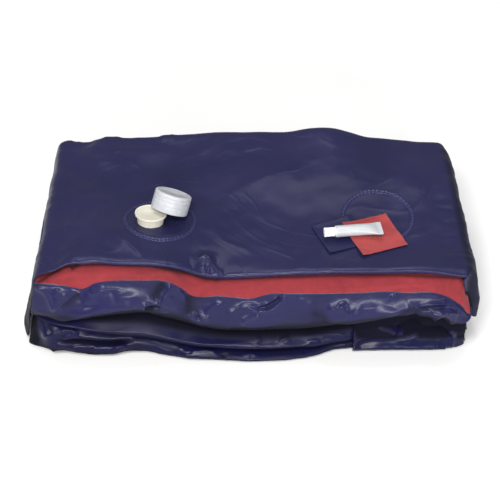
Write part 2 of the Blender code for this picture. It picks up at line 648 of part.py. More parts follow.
def valve_neck(skin, band):
    """The valve: a flange on the band's skin, a neck, and a spider at the neck's inner end."""
    bore, outside = VALVE_BORE / 2, VALVE_BORE / 2 + NECK_WALL
    flange = FLANGE_DIAMETER / 2
    inner_end = -NECK_LENGTH / 2
    lip = NECK_WALL / 3
    profile = [(bore, NECK_LENGTH), (outside - lip, NECK_LENGTH), (outside, NECK_LENGTH - lip),
               (outside, GAP + FLANGE_THICKNESS + lip), (outside + lip, GAP + FLANGE_THICKNESS),
               (flange - lip, GAP + FLANGE_THICKNESS), (flange, GAP + FLANGE_THICKNESS / 2), (flange, GAP),
               (outside, GAP), (outside, inner_end), (bore, inner_end)]
    neck = turned("valve_neck", profile, 32, skin)
    bars = bmesh.new()
    for turn in (0.0, 90.0):
        size = Matrix.Diagonal((VALVE_BORE + NECK_WALL, SPIDER_BAR, SPIDER_THICKNESS, 1.0))
        place = Matrix.Translation((0, 0, inner_end + SPIDER_THICKNESS))
        bmesh.ops.create_cube(bars, size=1.0, matrix=place @ Matrix.Rotation(math.radians(turn), 4, "Z") @ size)
    mesh = bpy.data.meshes.new("spider_bars")
    bars.to_mesh(mesh)
    bars.free()
    spider = bpy.data.objects.new("spider_bars", mesh)
    CUTTERS.objects.link(spider)
    spider.hide_render = True
    spider.display_type = "WIRE"
    union = neck.modifiers.new("spider", "BOOLEAN")
    union.object = spider
    union.operation = "UNION"
    union.solver = "EXACT"
    union.use_self = True
    place = valve_axis()
    face_back(neck, place)
    face_back(spider, place)
    depth = NECK_LENGTH / 2 + CHECK_DISC_THICKNESS + CHECK_DISC_TRAVEL + 4 * GAP
    pocket = turned("valve_pocket", [(0.0, NECK_LENGTH), (outside + GAP, NECK_LENGTH),
                                     (outside + GAP, -depth), (0.0, -depth)], 32, skin)
    face_back(pocket, place)
    cut(band, pocket)
    return neck


def check_disc(skin):
    """The soft disc inside the neck that lets air in and not out."""
    radius, thick = CHECK_DISC_DIAMETER / 2, CHECK_DISC_THICKNESS
    top = -NECK_LENGTH / 2 - GAP
    profile = [(0.0, top), (radius, top), (radius, top - thick / 2), (radius / 3, top - thick), (0.0, top - thick)]
    return face_back(turned("valve_check_disc", profile, 24, skin), valve_axis())


def stopper(skin):
    """The plug for the valve's bore: a dished flange over a hollow, slightly tapered body."""
    flange, body = STOPPER_FLANGE / 2, VALVE_BORE / 2 - STOPPER_CLEARANCE / 2
    top = STOPPER_DEPTH + STOPPER_FLANGE_THICKNESS
    edge = STOPPER_FLANGE_THICKNESS / 4
    taper = STOPPER_WALL / 4
    profile = [(0.0, top - STOPPER_DISH), (flange - 3 * edge, top - STOPPER_DISH), (flange - 2 * edge, top),
               (flange - edge, top), (flange, top - edge), (flange, STOPPER_DEPTH + edge),
               (flange - edge, STOPPER_DEPTH), (body, STOPPER_DEPTH), (body - taper, edge),
               (body - taper - edge, 0.0), (body - STOPPER_WALL, 0.0),
               (body - STOPPER_WALL, STOPPER_DEPTH - STOPPER_DISH), (0.0, STOPPER_DEPTH - STOPPER_DISH)]
    return turned("valve_stopper", profile, 32, skin)


def cap_inside():
    """Radius of the screw cap's inside, which passes over the valve's neck."""
    return VALVE_BORE / 2 + NECK_WALL + CAP_CLEARANCE


def screw_cap(skin):
    """The screw cap, standing mouth down with its rim at height zero."""
    inside = cap_inside()
    outside = inside + CAP_WALL
    rim = CAP_WALL / 4
    profile = [(0.0, CAP_HEIGHT), (outside - CAP_CHAMFER, CAP_HEIGHT),
               (outside - CAP_CHAMFER / 3, CAP_HEIGHT - CAP_CHAMFER / 3), (outside, CAP_HEIGHT - CAP_CHAMFER),
               (outside, rim), (outside - rim, 0.0), (inside + rim, 0.0), (inside, rim),
               (inside, CAP_HEIGHT - CAP_TOP), (0.0, CAP_HEIGHT - CAP_TOP)]
    return turned("valve_cap", profile, 36, skin)


def cap_seal(skin):
    """The ring of soft seal pressed into the top of the cap."""
    outside = cap_inside() - GAP
    inside = VALVE_BORE / 2
    top = CAP_HEIGHT - CAP_TOP - GAP
    profile = [(inside, top), (outside, top), (outside, top - SEAL_THICKNESS), (inside, top - SEAL_THICKNESS)]
    return turned("valve_cap_seal", profile, 32, skin)


def sampled(thing):
    """Points at the corners and along the edges of a piece, in world space."""
    corners = [thing.matrix_world @ v.co for v in thing.data.vertices]
    along = [corners[a].lerp(corners[b], step / 4) for edge in thing.data.edges
             for a, b in (edge.vertices,) for step in (1, 2, 3)]
    return corners + along


def clearance(thing, supports, keep=lambda p: True):
    """The least height of a piece over what is under it, of points that a test keeps."""
    least = math.inf
    points = sampled(thing)
    own = tree_of(thing)
    lows = [min(p[i] for p in points) for i in range(3)]
    highs = [max(p[i] for p in points) for i in range(3)]
    for support in supports:
        tree = tree_of(support)
        for p in points:
            if keep(p):
                hit = tree.ray_cast(p + Vector((0, 0, CROWN_HEIGHT)), Vector((0, 0, -1)))[0]
                if hit is not None:
                    least = min(least, p.z - hit.z)
        for q in sampled(support):
            if lows[0] < q.x < highs[0] and lows[1] < q.y < highs[1] and keep(q):
                hit = own.ray_cast(Vector((q.x, q.y, lows[2] - CROWN_HEIGHT)), Vector((0, 0, 1)))[0]
                if hit is not None:
                    least = min(least, hit.z - q.z)
    return least


def settle(thing, supports, gap):
    """Lowers or raises a piece until it lies just clear of what carries it."""
    thing.matrix_world = Matrix.Translation((0, 0, gap - clearance(thing, supports))) @ thing.matrix_world
    bpy.context.view_layer.update()


def rock(thing, place, axis, across, limits, supports, base):
    """Tips a piece about a level axis until both of its sides touch, and settles it."""
    low, high = limits
    for _ in range(TIPPING_STEPS):
        angle = (low + high) / 2
        thing.matrix_world = Matrix.Translation(place) @ Matrix.Rotation(angle, 4, axis) @ base
        near = clearance(thing, supports, lambda p: (p - place).dot(across) < 0)
        far = clearance(thing, supports, lambda p: (p - place).dot(across) >= 0)
        if near < far:
            low = angle
        else:
            high = angle
    return angle


def spot(shares, tree):
    """A named place on the flap."""
    x, y = shares[0] * HALF_WIDTH, shares[1] * HALF_DEPTH
    return Vector((x, y, on_surface(tree, x, y)))


def slope_turn(tree, place, radius):
    """The rotation that lays a flat foot of a given radius along the surface under it."""
    rise_x = on_surface(tree, place.x + radius, place.y) - on_surface(tree, place.x - radius, place.y)
    rise_y = on_surface(tree, place.x, place.y + radius) - on_surface(tree, place.x, place.y - radius)
    normal = Vector((-rise_x, -rise_y, 2 * radius)).normalized()
    return Vector((0, 0, 1)).rotation_difference(normal).to_matrix().to_4x4()


def patch(name, size, shares, turn, supports, skin):
    """A square of repair sheet that follows what it lies on."""
    trees = [tree_of(thing) for thing in supports]
    x0, y0 = shares[0] * HALF_WIDTH, shares[1] * HALF_DEPTH
    spin = Matrix.Rotation(math.radians(turn), 2)
    cells = 8
    lower_rows, upper_rows = [], []
    for i in range(cells + 1):
        lower, above = [], []
        for j in range(cells + 1):
            offset = spin @ Vector((i / cells - 0.5, j / cells - 0.5)) * size
            x, y = x0 + offset.x, y0 + offset.y
            around = [size / cells * step / 5 for step in range(-3, 4)]
            heights = [on_surface(tree, x + a, y + b) for tree in trees for a in around for b in around]
            z = max(heights) + DRAPE_GAP
            lower.append(Vector((x, y, z)))
            above.append(Vector((x, y, z + PATCH_THICKNESS)))
        lower_rows.append(lower)
        upper_rows.append(above)
    return sheet(name, upper_rows, lower_rows, skin)


def glue_tube(skin):
    """The glue tube along +X from its shoulder, drawn out flat to a folded crimp."""
    count, steps = 20, 9
    radius, flat = TUBE_DIAMETER / 2, math.pi * TUBE_DIAMETER / 4
    rings = []
    for k in range(steps + 1):
        t = k / steps
        x = t * (TUBE_LENGTH - CRIMP_LENGTH)
        ease = t ** 4
        wide = radius + (flat - radius) * ease
        tall = radius + (CRIMP_THICKNESS / 2 - radius) * ease
        squareness = 1.0 - 0.45 * ease
        ring = []
        for j in range(count):
            angle = 2 * math.pi * j / count
            c, s = math.cos(angle), math.sin(angle)
            ring.append(Vector((x, wide * math.copysign(abs(c) ** squareness, c),
                                tall * math.copysign(abs(s) ** squareness, s))))
        rings.append(ring)
    rings.append([p + Vector((CRIMP_LENGTH, 0, 0)) for p in rings[-1]])
    bm = bmesh.new()
    join_rings(bm, rings, "fan")
    return finish(bm, "glue_tube_body", skin)


def tube_shoulder(skin):
    """The moulded shoulder and nozzle, with a bore, about Z and away from the tube."""
    radius, nozzle, bore = TUBE_DIAMETER / 2, NOZZLE_DIAMETER / 2, NOZZLE_BORE / 2
    lip = NOZZLE_BORE / 10
    profile = [(bore, SHOULDER_LENGTH + NOZZLE_LENGTH), (nozzle - lip, SHOULDER_LENGTH + NOZZLE_LENGTH),
               (nozzle, SHOULDER_LENGTH + NOZZLE_LENGTH - lip), (nozzle, SHOULDER_LENGTH),
               (radius - lip, SHOULDER_LENGTH / 2), (radius - lip, GAP), (bore, GAP)]
    return turned("glue_tube_nozzle", profile, 20, skin)


def tube_cap(skin):
    """The tube's cap, with grip ribs, mouth down at height zero."""
    outside, rib = TUBE_CAP_DIAMETER / 2, TUBE_CAP_RIB
    inside = NOZZLE_DIAMETER / 2 + GAP
    bore_end = NOZZLE_LENGTH + LINER_THICKNESS + GAP
    count = 2 * TUBE_CAP_RIBS
    rings = []
    for height, grow in ((0.0, -rib), (2 * rib, 0.0), (TUBE_CAP_LENGTH - 3 * rib, 0.0), (TUBE_CAP_LENGTH, -3 * rib)):
        ring = []
        for k in range(count):
            angle = 2 * math.pi * k / count
            radius = outside + grow - (rib if k % 2 else 0.0)
            ring.append(Vector((radius * math.cos(angle), radius * math.sin(angle), height)))
        rings.append(ring)
    bm = bmesh.new()
    join_rings(bm, rings, "fan")
    cap = finish(bm, "glue_tube_cap", skin)
    bore = turned("glue_cap_bore", [(0.0, bore_end), (inside, bore_end), (inside, -CUT_OVERRUN),
                                    (0.0, -CUT_OVERRUN)], 20, skin)
    return cut(cap, bore), bore


def cap_liner(skin, height):
    """The sealing disc inside the tube's cap, which bears on the nozzle's mouth."""
    radius = NOZZLE_DIAMETER / 2
    profile = [(0.0, height + LINER_THICKNESS), (radius, height + LINER_THICKNESS), (radius, height), (0.0, height)]
    return turned("glue_cap_liner", profile, 16, skin)


def tube_pieces(body_skin, cap_skin, liner_skin, supports):
    """The whole glue tube, settled on the patches, in one frame."""
    body = glue_tube(body_skin)
    nozzle = tube_shoulder(cap_skin)
    cap, bore = tube_cap(cap_skin)
    liner = cap_liner(liner_skin, SHOULDER_LENGTH + NOZZLE_LENGTH + GAP)
    outward = Matrix.Rotation(math.radians(-90), 4, "Y")
    x = TUBE_SHARES[0] * HALF_WIDTH
    place = Vector((x, TUBE_SHARES[1] * HALF_DEPTH, CROWN_HEIGHT))
    turn = Matrix.Rotation(math.radians(TUBE_TURN), 4, "Z")
    base = turn @ Matrix.Translation((-TUBE_LENGTH / 3, 0, 0))
    along, level_axis = turn @ Vector((1, 0, 0)), turn @ Vector((0, 1, 0))
    tilt = rock(body, place, level_axis, along, TUBE_TIPPING, supports, base)
    lift = DRAPE_GAP - clearance(body, supports)
    frame = Matrix.Translation(place + Vector((0, 0, lift))) @ Matrix.Rotation(tilt, 4, level_axis) @ base
    body.matrix_world = frame
    nozzle.matrix_world = frame @ outward
    shift = Matrix.Translation((0, 0, SHOULDER_LENGTH + GAP))
    cap.matrix_world = frame @ outward @ shift
    bore.matrix_world = cap.matrix_world
    liner.matrix_world = frame @ outward
    return body, nozzle, cap, liner, frame @ outward


def centre_on_floor(things, cutters):
    """Moves everything so that the origin is at the middle of the pile's foot."""
    points = [thing.matrix_world @ v.co for thing in things for v in thing.data.vertices]
    lows = [min(p[i] for p in points) for i in range(3)]
    highs = [max(p[i] for p in points) for i in range(3)]
    shift = Vector((-(lows[0] + highs[0]) / 2, -(lows[1] + highs[1]) / 2, -lows[2]))
    for thing in things + cutters:
        thing.matrix_world = Matrix.Translation(shift) @ thing.matrix_world
    return shift


def set_origin(thing, place):
    """Puts an object's origin at a place, leaving its mesh where it is."""
    to_local = thing.matrix_world.inverted()
    thing.data.transform(Matrix.Translation(-(to_local @ place)))
    thing.matrix_world = thing.matrix_world @ Matrix.Translation(to_local @ place)


def main():
    """Builds the bed and prints where its joints are."""
    vinyl = material("navy_vinyl", (0.040, 0.042, 0.115), 0.34)
    inner_vinyl = material("coil_vinyl", (0.060, 0.065, 0.150), 0.45)
    flock = material("red_flock", (0.420, 0.045, 0.055), 0.95)
    cap_plastic = material("white_cap_plastic", (0.700, 0.720, 0.750), 0.38)
    plug_plastic = material("cream_stopper_plastic", (0.780, 0.740, 0.600), 0.42)
    seal_rubber = material("seal_rubber", (0.350, 0.350, 0.350), 0.60)
    tube_plastic = material("white_tube_plastic", (0.880, 0.890, 0.900), 0.35)

    under = underside_fold(vinyl)
    roll = middle_roll(vinyl)
    band = side_band(vinyl)
    panel = flocked_panel(flock)
    skin = flap_skin(vinyl)
    lining = flap_lining(flock)
    wall = left_wall(vinyl)
    drape = flap_drape(vinyl)
    lap = right_lap(vinyl, [under, roll])
    neck = valve_neck(vinyl, band)
    disc = check_disc(seal_rubber)

    surface = tree_of(skin)
    left_weld = weld_ring("left_coil_weld", LEFT_WELD_SHARES, surface, vinyl)
    right_weld = weld_ring("right_coil_weld", RIGHT_WELD_SHARES, surface, vinyl)
    left_coil = air_coil("left_air_coil", LEFT_WELD_SHARES, surface, inner_vinyl)
    right_coil = air_coil("right_air_coil", RIGHT_WELD_SHARES, surface, inner_vinyl)

    plug = stopper(plug_plastic)
    place = spot(STOPPER_SHARES, surface)
    plug.matrix_world = Matrix.Translation(place) @ slope_turn(surface, place, VALVE_BORE / 2)
    settle(plug, [skin, left_weld], GAP)

    cap = screw_cap(cap_plastic)
    seal = cap_seal(seal_rubber)
    place = spot(CAP_SHARES, surface)
    place.z = CROWN_HEIGHT
    lean = Vector((math.cos(math.radians(CAP_LEAN_DIRECTION)), math.sin(math.radians(CAP_LEAN_DIRECTION)), 0))
    axis = Vector((0, 0, 1)).cross(lean)
    angle = rock(cap, place, axis, lean, CAP_TIPPING, [skin, left_weld, plug], Matrix.Identity(4))
    settle(cap, [skin, left_weld, plug], GAP)
    seal.matrix_world = cap.matrix_world.copy()
    print("cap leans %.1f degrees" % math.degrees(angle))

    blue = patch("repair_patch_blue", BLUE_PATCH, BLUE_PATCH_SHARES, BLUE_PATCH_TURN, [skin, right_weld], vinyl)
    red = patch("repair_patch_red", RED_PATCH, RED_PATCH_SHARES, RED_PATCH_TURN, [skin, right_weld, blue], flock)
    tube, nozzle, tube_top, liner, tube_frame = tube_pieces(tube_plastic, tube_plastic, seal_rubber,
                                                            [skin, right_weld, blue, red])

    things = list(BED.objects)
    hinge_x = HINGE_SHARE * HALF_WIDTH
    tops = [(line, upper(hinge_x, line)) for line in lines()]
    fall = (tops[-1][1] - tops[0][1]) / (tops[-1][0] - tops[0][0])
    lift = max(z - (tops[0][1] + fall * (y - tops[0][0])) for y, z in tops)
    hinge = Vector((hinge_x, 0, tops[0][1] + fall * (0 - tops[0][0]) + lift))
    valve = valve_axis()

    shift = centre_on_floor(things, list(CUTTERS.objects))
    hinge += shift
    axis = Vector((0, -1, -fall)).normalized()
    tube_frame = Matrix.Translation(shift) @ tube_frame
    for thing in (skin, lining, drape, left_weld, right_weld, left_coil, right_coil):
        set_origin(thing, hinge)
    print("shift", [round(v, 6) for v in shift])
    print("hinge", [round(v, 6) for v in hinge], "axis", [round(v, 6) for v in axis])
    print("valve", [round(v, 6) for v in valve + shift])
    print("tube cap origin", [round(v, 6) for v in tube_frame.translation],
          "axis", [round(v, 6) for v in tube_frame.to_3x3() @ Vector((0, 0, 1))])
    for thing in (plug, cap, blue, red, tube, disc):
        print(thing.name, [round(v, 6) for v in thing.matrix_world.translation])


clear_scene()
BED = collection("air_bed")
CUTTERS = collection("cutters")
main()
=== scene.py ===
"""Dresses the folded air bed: creased vinyl, flocked sleeping side, closures and repair kit.

Places are worked out in the bed's own metres and moved by ORIGIN into the frame. Creases are listed by
where the camera sees them, in pixels of a 500 x 500 view, and pressed into the real surface there.
"""
import math

import bpy
import numpy as np
from mathutils import Matrix, Vector
from mathutils.bvhtree import BVHTree


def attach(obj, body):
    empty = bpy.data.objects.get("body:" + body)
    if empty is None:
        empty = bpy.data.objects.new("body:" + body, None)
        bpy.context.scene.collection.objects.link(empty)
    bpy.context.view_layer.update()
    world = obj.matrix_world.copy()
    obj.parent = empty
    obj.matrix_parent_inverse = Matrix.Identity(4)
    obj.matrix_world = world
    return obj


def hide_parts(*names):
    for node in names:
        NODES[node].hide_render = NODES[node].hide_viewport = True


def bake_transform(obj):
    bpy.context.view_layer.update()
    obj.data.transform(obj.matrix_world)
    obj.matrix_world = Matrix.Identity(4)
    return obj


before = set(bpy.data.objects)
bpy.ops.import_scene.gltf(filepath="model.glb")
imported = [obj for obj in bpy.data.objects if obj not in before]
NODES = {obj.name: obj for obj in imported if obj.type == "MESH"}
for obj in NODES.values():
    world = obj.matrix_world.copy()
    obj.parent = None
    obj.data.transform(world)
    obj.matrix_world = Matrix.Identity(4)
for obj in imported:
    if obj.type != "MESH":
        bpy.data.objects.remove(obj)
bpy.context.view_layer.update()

ORIGIN = np.array((0.00279, -0.010636, 0.0))
HALF_WIDTH = 0.250
HALF_DEPTH = 0.128
CROWN = 0.140
FLAP_THICKNESS = 0.008
GAP = 0.0003
SKIN = 0.0008
MM = 0.001
# In depth: where the folds' flat tops end at the front, and the seam of the sleeping side
FRONT_LINE = -0.75 * HALF_DEPTH
SEAM_LINE = -0.910 * HALF_DEPTH

# Forms of the pile, as shares of half its width, half its depth and its height
FRONT_AT = (-0.96, -0.86, -0.78, -0.74, -0.68, -0.58, -0.48, -0.38, -0.312, -0.256, -0.20, -0.144,
            -0.072, 0.0, 0.1, 0.2, 0.3, 0.4, 0.5, 0.6, 0.7, 0.8, 0.88, 0.952)
FRONT_ROW = (0.870, 0.945, 0.980, 0.980, 0.980, 0.955, 0.940, 0.925, 0.895, 0.855, 0.820, 0.805,
             0.805, 0.815, 0.830, 0.845, 0.850, 0.855, 0.855, 0.860, 0.865, 0.860, 0.845, 0.825)
ROW_AT = (-0.86, -0.68, -0.48, -0.30, -0.18, 0.0, 0.2, 0.4, 0.6, 0.8, 0.952)
ROW_LINES = (-0.75, -0.39, 0.0, 0.43, 1.0)
ROWS = ((0.915, 0.955, 0.940, 0.900, 0.870, 0.845, 0.840, 0.830, 0.815, 0.815, 0.800),
        (0.880, 0.895, 0.868, 0.868, 0.870, 0.865, 0.855, 0.845, 0.835, 0.830, 0.815),
        (0.850, 0.865, 0.858, 0.880, 0.895, 0.905, 0.915, 0.915, 0.885, 0.870, 0.835),
        (0.800, 0.865, 0.890, 0.905, 0.920, 0.930, 0.945, 0.985, 0.880, 0.845, 0.815))
SEAM = (0.820, 0.805, 0.770, 0.755, 0.820, 0.850, 0.850, 0.845, 0.780, 0.680, 0.670, 0.680,
        0.665, 0.650, 0.705, 0.705, 0.705, 0.710, 0.715, 0.730, 0.715, 0.720, 0.670, 0.570)
BAND_FOOT = (0.470, 0.465, 0.470, 0.480, 0.495, 0.520, 0.530, 0.465, 0.420, 0.395, 0.365, 0.345,
             0.330, 0.330, 0.325, 0.330, 0.345, 0.370, 0.400, 0.435, 0.450, 0.425, 0.430, 0.400)
ROLL_FOOT = (0.400, 0.365, 0.335, 0.305, 0.270, 0.230, 0.205, 0.180, 0.160, 0.145, 0.130, 0.120,
             0.100, 0.090, 0.090, 0.095, 0.095, 0.105, 0.115, 0.130, 0.145, 0.150, 0.155, 0.155)
BAND_BACK = 0.375
ROLL_BACK = 0.160
TIP_AT = (-1.018, -0.972, -0.928, -0.86, -0.68, -0.48, -0.38, -0.256, -0.072, 0.1, 0.2, 0.3, 0.4, 0.6, 0.8,
          0.95)
UNDER_TIP = (-0.70, -0.79, -0.90, -0.925, -0.920, -0.91, -0.935, -0.985, -1.005, -1.00, -0.985,
             -0.935, -0.860, -0.825, -0.825, -0.80)
ROLL_TIP = (-0.80, -0.86, -0.92, -0.960, -0.970, -0.975, -0.980, -0.990, -0.990, -0.985, -0.975,
            -0.960, -0.920, -0.905, -0.900, -0.88)
BAND_TIP = (-0.90, -0.91, -0.93, -0.970, -0.985, -0.990, -0.985, -0.975, -0.985, -0.985, -0.985,
            -0.985, -0.985, -0.985, -0.975, -0.95)
UNDER_BACK = (0.80, 0.92, 1.00, *(1.02,) * 11, 1.00, 0.95)
FLAP_FRONT = (-0.860, -0.850, -0.830, -0.845, -0.812, *(-0.797,) * 9, -0.800, -0.815)
# The folds' back edges, the flap's crease and end, the narrowing to the back and the splay at the floor
FLAP_BACK = 1.072
ROLL_BACK_TIP = 1.045
BAND_BACK_TIP = 1.060
HINGE = -0.861
FLAP_END = 0.944
NARROWING = 0.046
SPLAY = 0.058
# The side sheets' paths, outward and down, and along lines in depth how they sweep, lean and drop
WALL_PATH = ((0.0, 0.0), (0.050, 0.006), (0.085, 0.045), (0.103, 0.125), (0.128, 0.400), (0.150, 0.580),
             (0.178, 0.760), (0.205, 0.965))
DRAPE_PATH = ((0.0, 0.0), (0.036, 0.012), (0.066, 0.055), (0.084, 0.130), (0.097, 0.330), (0.105, 0.480),
              (0.100, 0.600))
WALL_LINES = (-0.83, -0.75, -0.61, -0.41, -0.19, 0.03, 0.265, 0.515, 0.765, 1.0, 1.06)
WALL_SWEEP = (0.20, 0.18, 0.13, 0.08, 0.0, 0.0, 0.0, -0.02, -0.08, -0.18, -0.20)
WALL_LEAN = (0.97, 0.98, 0.98, 0.96, 0.94, 0.92, 0.90, 0.89, 0.88, 0.87, 0.86)
DRAPE_LINES = (-0.80, -0.75, -0.61, -0.41, -0.19, 0.03, 0.265, 0.515, 0.765, 1.0, 1.05)
DRAPE_SWEEP = (0.04, 0.02, 0.0, 0.0, 0.0, 0.0, 0.0, 0.0, -0.02, -0.06, -0.10)
DRAPE_LEAN = (0.75, 0.86, 1.0, 1.0, 1.0, 1.0, 1.0, 1.0, 0.98, 0.88, 0.80)
DRAPE_DROP = (0.78, 0.95, 1.0, 1.0, 1.0, 1.0, 1.0, 1.0, 1.0, 1.0, 0.92)
# Centres of the ring welds, across and in depth
LEFT_WELD = (-0.413, -0.185)
RIGHT_WELD = (0.589, -0.060)

# The glue tube's shoulder and its axis from there to the cap, in the frame
TUBE_ORIGIN = np.array((0.1003, -0.054694, 0.126589))
TUBE_AXIS = np.array((-0.990006, -0.139136, 0.02299))

# The camera: the view's width and the focal length in pixels, the sensor in mm, its tilt down and its place
VIEW = 500
FOCAL = 1573.0
SENSOR = 36.0
PITCH = math.radians(42.0)
EYE = np.array((0.0, -1.382, 1.303))


def spline(at, stations, values):
    """Smooth curve through values at uneven stations. Values may hold one row for each place."""
    s, v = np.asarray(stations, float), np.asarray(values, float)
    at = np.clip(np.asarray(at, float), s[0], s[-1])
    i = np.clip(np.searchsorted(s, at, side="right") - 1, 0, len(s) - 2)
    shape = (-1,) + (1,) * (v.ndim - 1)
    before, after = np.r_[0, 0:len(s) - 1], np.r_[1:len(s), len(s) - 1]
    slopes = (v[after] - v[before]) / (s[after] - s[before]).reshape(shape)

    def take(rows, k):
        if v.ndim == 1:
            return rows[k]
        return np.take_along_axis(rows, k[None], axis=0)[0]
    step = s[i + 1] - s[i]
    t = (at - s[i]) / step
    a, b = take(slopes, i) * step, take(slopes, i + 1) * step
    first = take(v, i)
    rise = take(v, i + 1) - first
    return first + t * a + t * t * (3 * rise - 2 * a - b) + t ** 3 * (a + b - 2 * rise)


def upper(x, y):
    """Height of the pile's upper surface."""
    x, y = np.broadcast_arrays(np.asarray(x, float), np.asarray(y, float))
    across = x / HALF_WIDTH
    rows = [spline(across, FRONT_AT, FRONT_ROW)] + [spline(across, ROW_AT, row) for row in ROWS]
    return spline(y / HALF_DEPTH, ROW_LINES, np.stack(rows)) * CROWN


def front(x, shares):
    """Height of one of the lines along the front."""
    return spline(x / HALF_WIDTH, FRONT_AT, shares) * CROWN


def tip(x, shares):
    """Place in depth of a fold's nose."""
    return spline(x / HALF_WIDTH, TIP_AT, shares) * HALF_DEPTH


def level(x, y, shares, back):
    """Height of the plane between two folds."""
    t = (y / HALF_DEPTH + 0.75) / 1.75
    return (1 - t) * front(x, shares) + t * back * CROWN


def edge_drop(x):
    """How far the folds fall away under the flap's end."""
    t = np.maximum(x - FLAP_END * HALF_WIDTH, 0) / (0.054 * HALF_WIDTH)
    return 2 * FLAP_THICKNESS * t * t


def narrowed(x, y):
    """Place across, drawn in towards the back on the right."""
    return np.where(x > 0, x * (1 - NARROWING * (y / HALF_DEPTH + 1) / 2), x)


def seen(points):
    """Where the camera sees points, in pixels."""
    d = points - EYE
    depth = d[..., 1] * math.cos(PITCH) - d[..., 2] * math.sin(PITCH)
    up = d[..., 1] * math.sin(PITCH) + d[..., 2] * math.cos(PITCH)
    return VIEW / 2 + FOCAL * d[..., 0] / depth, VIEW / 2 - FOCAL * up / depth


def smooth(t):
    """Eases from 0 to 1."""
    t = np.clip(t, 0, 1)
    return t * t * (3 - 2 * t)


def noise(x, y, seed):
    """Smooth noise between about -1 and 1 over a plane."""
    rng = np.random.RandomState(seed)
    angle = rng.uniform(0, 2 * math.pi, (64, 64))
    xi, yi = np.floor(x).astype(int), np.floor(y).astype(int)
    fx, fy = x - xi, y - yi
    u, v = fx ** 3 * (fx * (6 * fx - 15) + 10), fy ** 3 * (fy * (6 * fy - 15) + 10)

    def corner(i, j):
        turn = angle[(xi + i) % 64, (yi + j) % 64]
        return np.cos(turn) * (fx - i) + np.sin(turn) * (fy - j)
    low = corner(0, 0) * (1 - u) + corner(1, 0) * u
    high = corner(0, 1) * (1 - u) + corner(1, 1) * u
    return 1.4 * (low * (1 - v) + high * v)


def crumple(x, y, size, seed):
    """Creased noise: flat facets that meet in sharp folds."""
    bend = 0.35 * noise(x / size / 1.7 + 9.3, y / size / 1.7, seed + 5)
    a = np.abs(noise(x / size + bend, y / size - bend, seed))
    b = np.abs(noise(x / size * 1.9 - 4.1, y / size * 1.9 + 2.7, seed + 1))
    return 0.5 - a - 0.4 * b


def crease(u, v, points, height, width, sharp=1.3, ends=0.25, lean=1.0):
    """A fold along a line of pixels: height in mm, width in pixels, its second side lean times wider."""
    pts = np.array(points, float)
    lengths = np.hypot(*np.diff(pts, axis=0).T)
    total = lengths.sum()
    best, side, along = np.full(u.shape, 1e9), np.zeros(u.shape), np.zeros(u.shape)
    gone = 0.0
    for a, b, length in zip(pts, pts[1:], lengths):
        d = (b - a) / length
        s = np.clip((u - a[0]) * d[0] + (v - a[1]) * d[1], 0, length)
        away = np.hypot(u - a[0] - s * d[0], v - a[1] - s * d[1])
        nearer = away < best
        side = np.where(nearer, (u - a[0]) * d[1] - (v - a[1]) * d[0], side)
        along = np.where(nearer, (gone + s) / total, along)
        best = np.where(nearer, away, best)
        gone += length
    wide = width * np.where(side > 0, lean, 1.0)
    grow = smooth(along / ends) * smooth((1 - along) / ends) if ends > 0 else 1.0
    return height * MM * (0.25 + 0.75 * grow) * np.exp(-(best / (1.9 * wide)) ** (sharp - 0.2))


def creases(u, v, table):
    """Many folds together."""
    total = np.zeros(u.shape)
    for entry in table:
        total += crease(u, v, *entry)
    return total


def bump(u, v, at, size, height):
    """A soft swelling at a pixel."""
    return height * MM * np.exp(-((u - at[0]) / size[0]) ** 2 - ((v - at[1]) / size[1]) ** 2)


def normals(grid):
    """Unit normals of a grid of points, on the side that rows turning right from columns give."""
    du, dv = np.gradient(grid, axis=0), np.gradient(grid, axis=1)
    n = np.cross(du, dv)
    return n / np.maximum(np.linalg.norm(n, axis=2, keepdims=True), 1e-12)


def spaced(first, last, spacing):
    """Places from first to last. The spacing is a number, or a function of the place."""
    fine = np.linspace(first, last, 4000)
    gaps = spacing(fine) if callable(spacing) else np.full(fine.shape, spacing)
    count = np.cumsum(1 / gaps) * (fine[1] - fine[0])
    count = (count - count[0]) / (count[-1] - count[0]) * math.ceil(count[-1])
    return np.interp(np.arange(int(count[-1]) + 1), count, fine)


def nose(start, end, reach, count, squareness):
    """Rows of (y, z) round a nose between two lines, for many stations at once."""
    rows = []
    for k in range(1, count + 1):
        angle = math.pi * (k / (count + 1) - 0.5)
        s, c = math.sin(angle), math.cos(angle)
        t = 0.5 + 0.5 * math.copysign(abs(s) ** squareness, s)
        y = start[0] + (end[0] - start[0]) * t
        rows.append((y + (reach - y) * c ** squareness, start[1] + (end[1] - start[1]) * t))
    return rows


def axes(points):
    """Views of the three coordinates of points. A change to one changes the points."""
    return points[..., 0], points[..., 1], points[..., 2]


def averaged(heights):
    """Each inner value of a grid as the mean of its four neighbours."""
    return (heights[:-2, 1:-1] + heights[2:, 1:-1] + heights[1:-1, :-2] + heights[1:-1, 2:]) / 4


def tree_of(piece):
    """Surface of a piece for finding what touches it, in the frame's metres."""
    mesh = piece.data
    corners = [v.co.copy() for v in mesh.vertices]
    return BVHTree.FromPolygons(corners, [tuple(p.vertices) for p in mesh.polygons])


def height_on(tree, x, y, otherwise):
    """Height of a surface at a place in the frame's metres, or another value beside the surface."""
    hit = tree.ray_cast(Vector((x, y, 0.5)), Vector((0, 0, -1)))[0]
    return otherwise if hit is None else hit.z


# Materials

def wired(node, inputs):
    """Sets a node's inputs to values, or links them to other nodes' outputs."""
    for key, value in inputs.items():
        if isinstance(value, bpy.types.NodeSocket):
            node.id_data.links.new(value, node.inputs[key])
        else:
            node.inputs[key].default_value = value
    return node


def added(nodes, kind, inputs, **settings):
    """A new node with its settings and inputs."""
    node = nodes.new(kind)
    for key, value in settings.items():
        setattr(node, key, value)
    return wired(node, inputs)


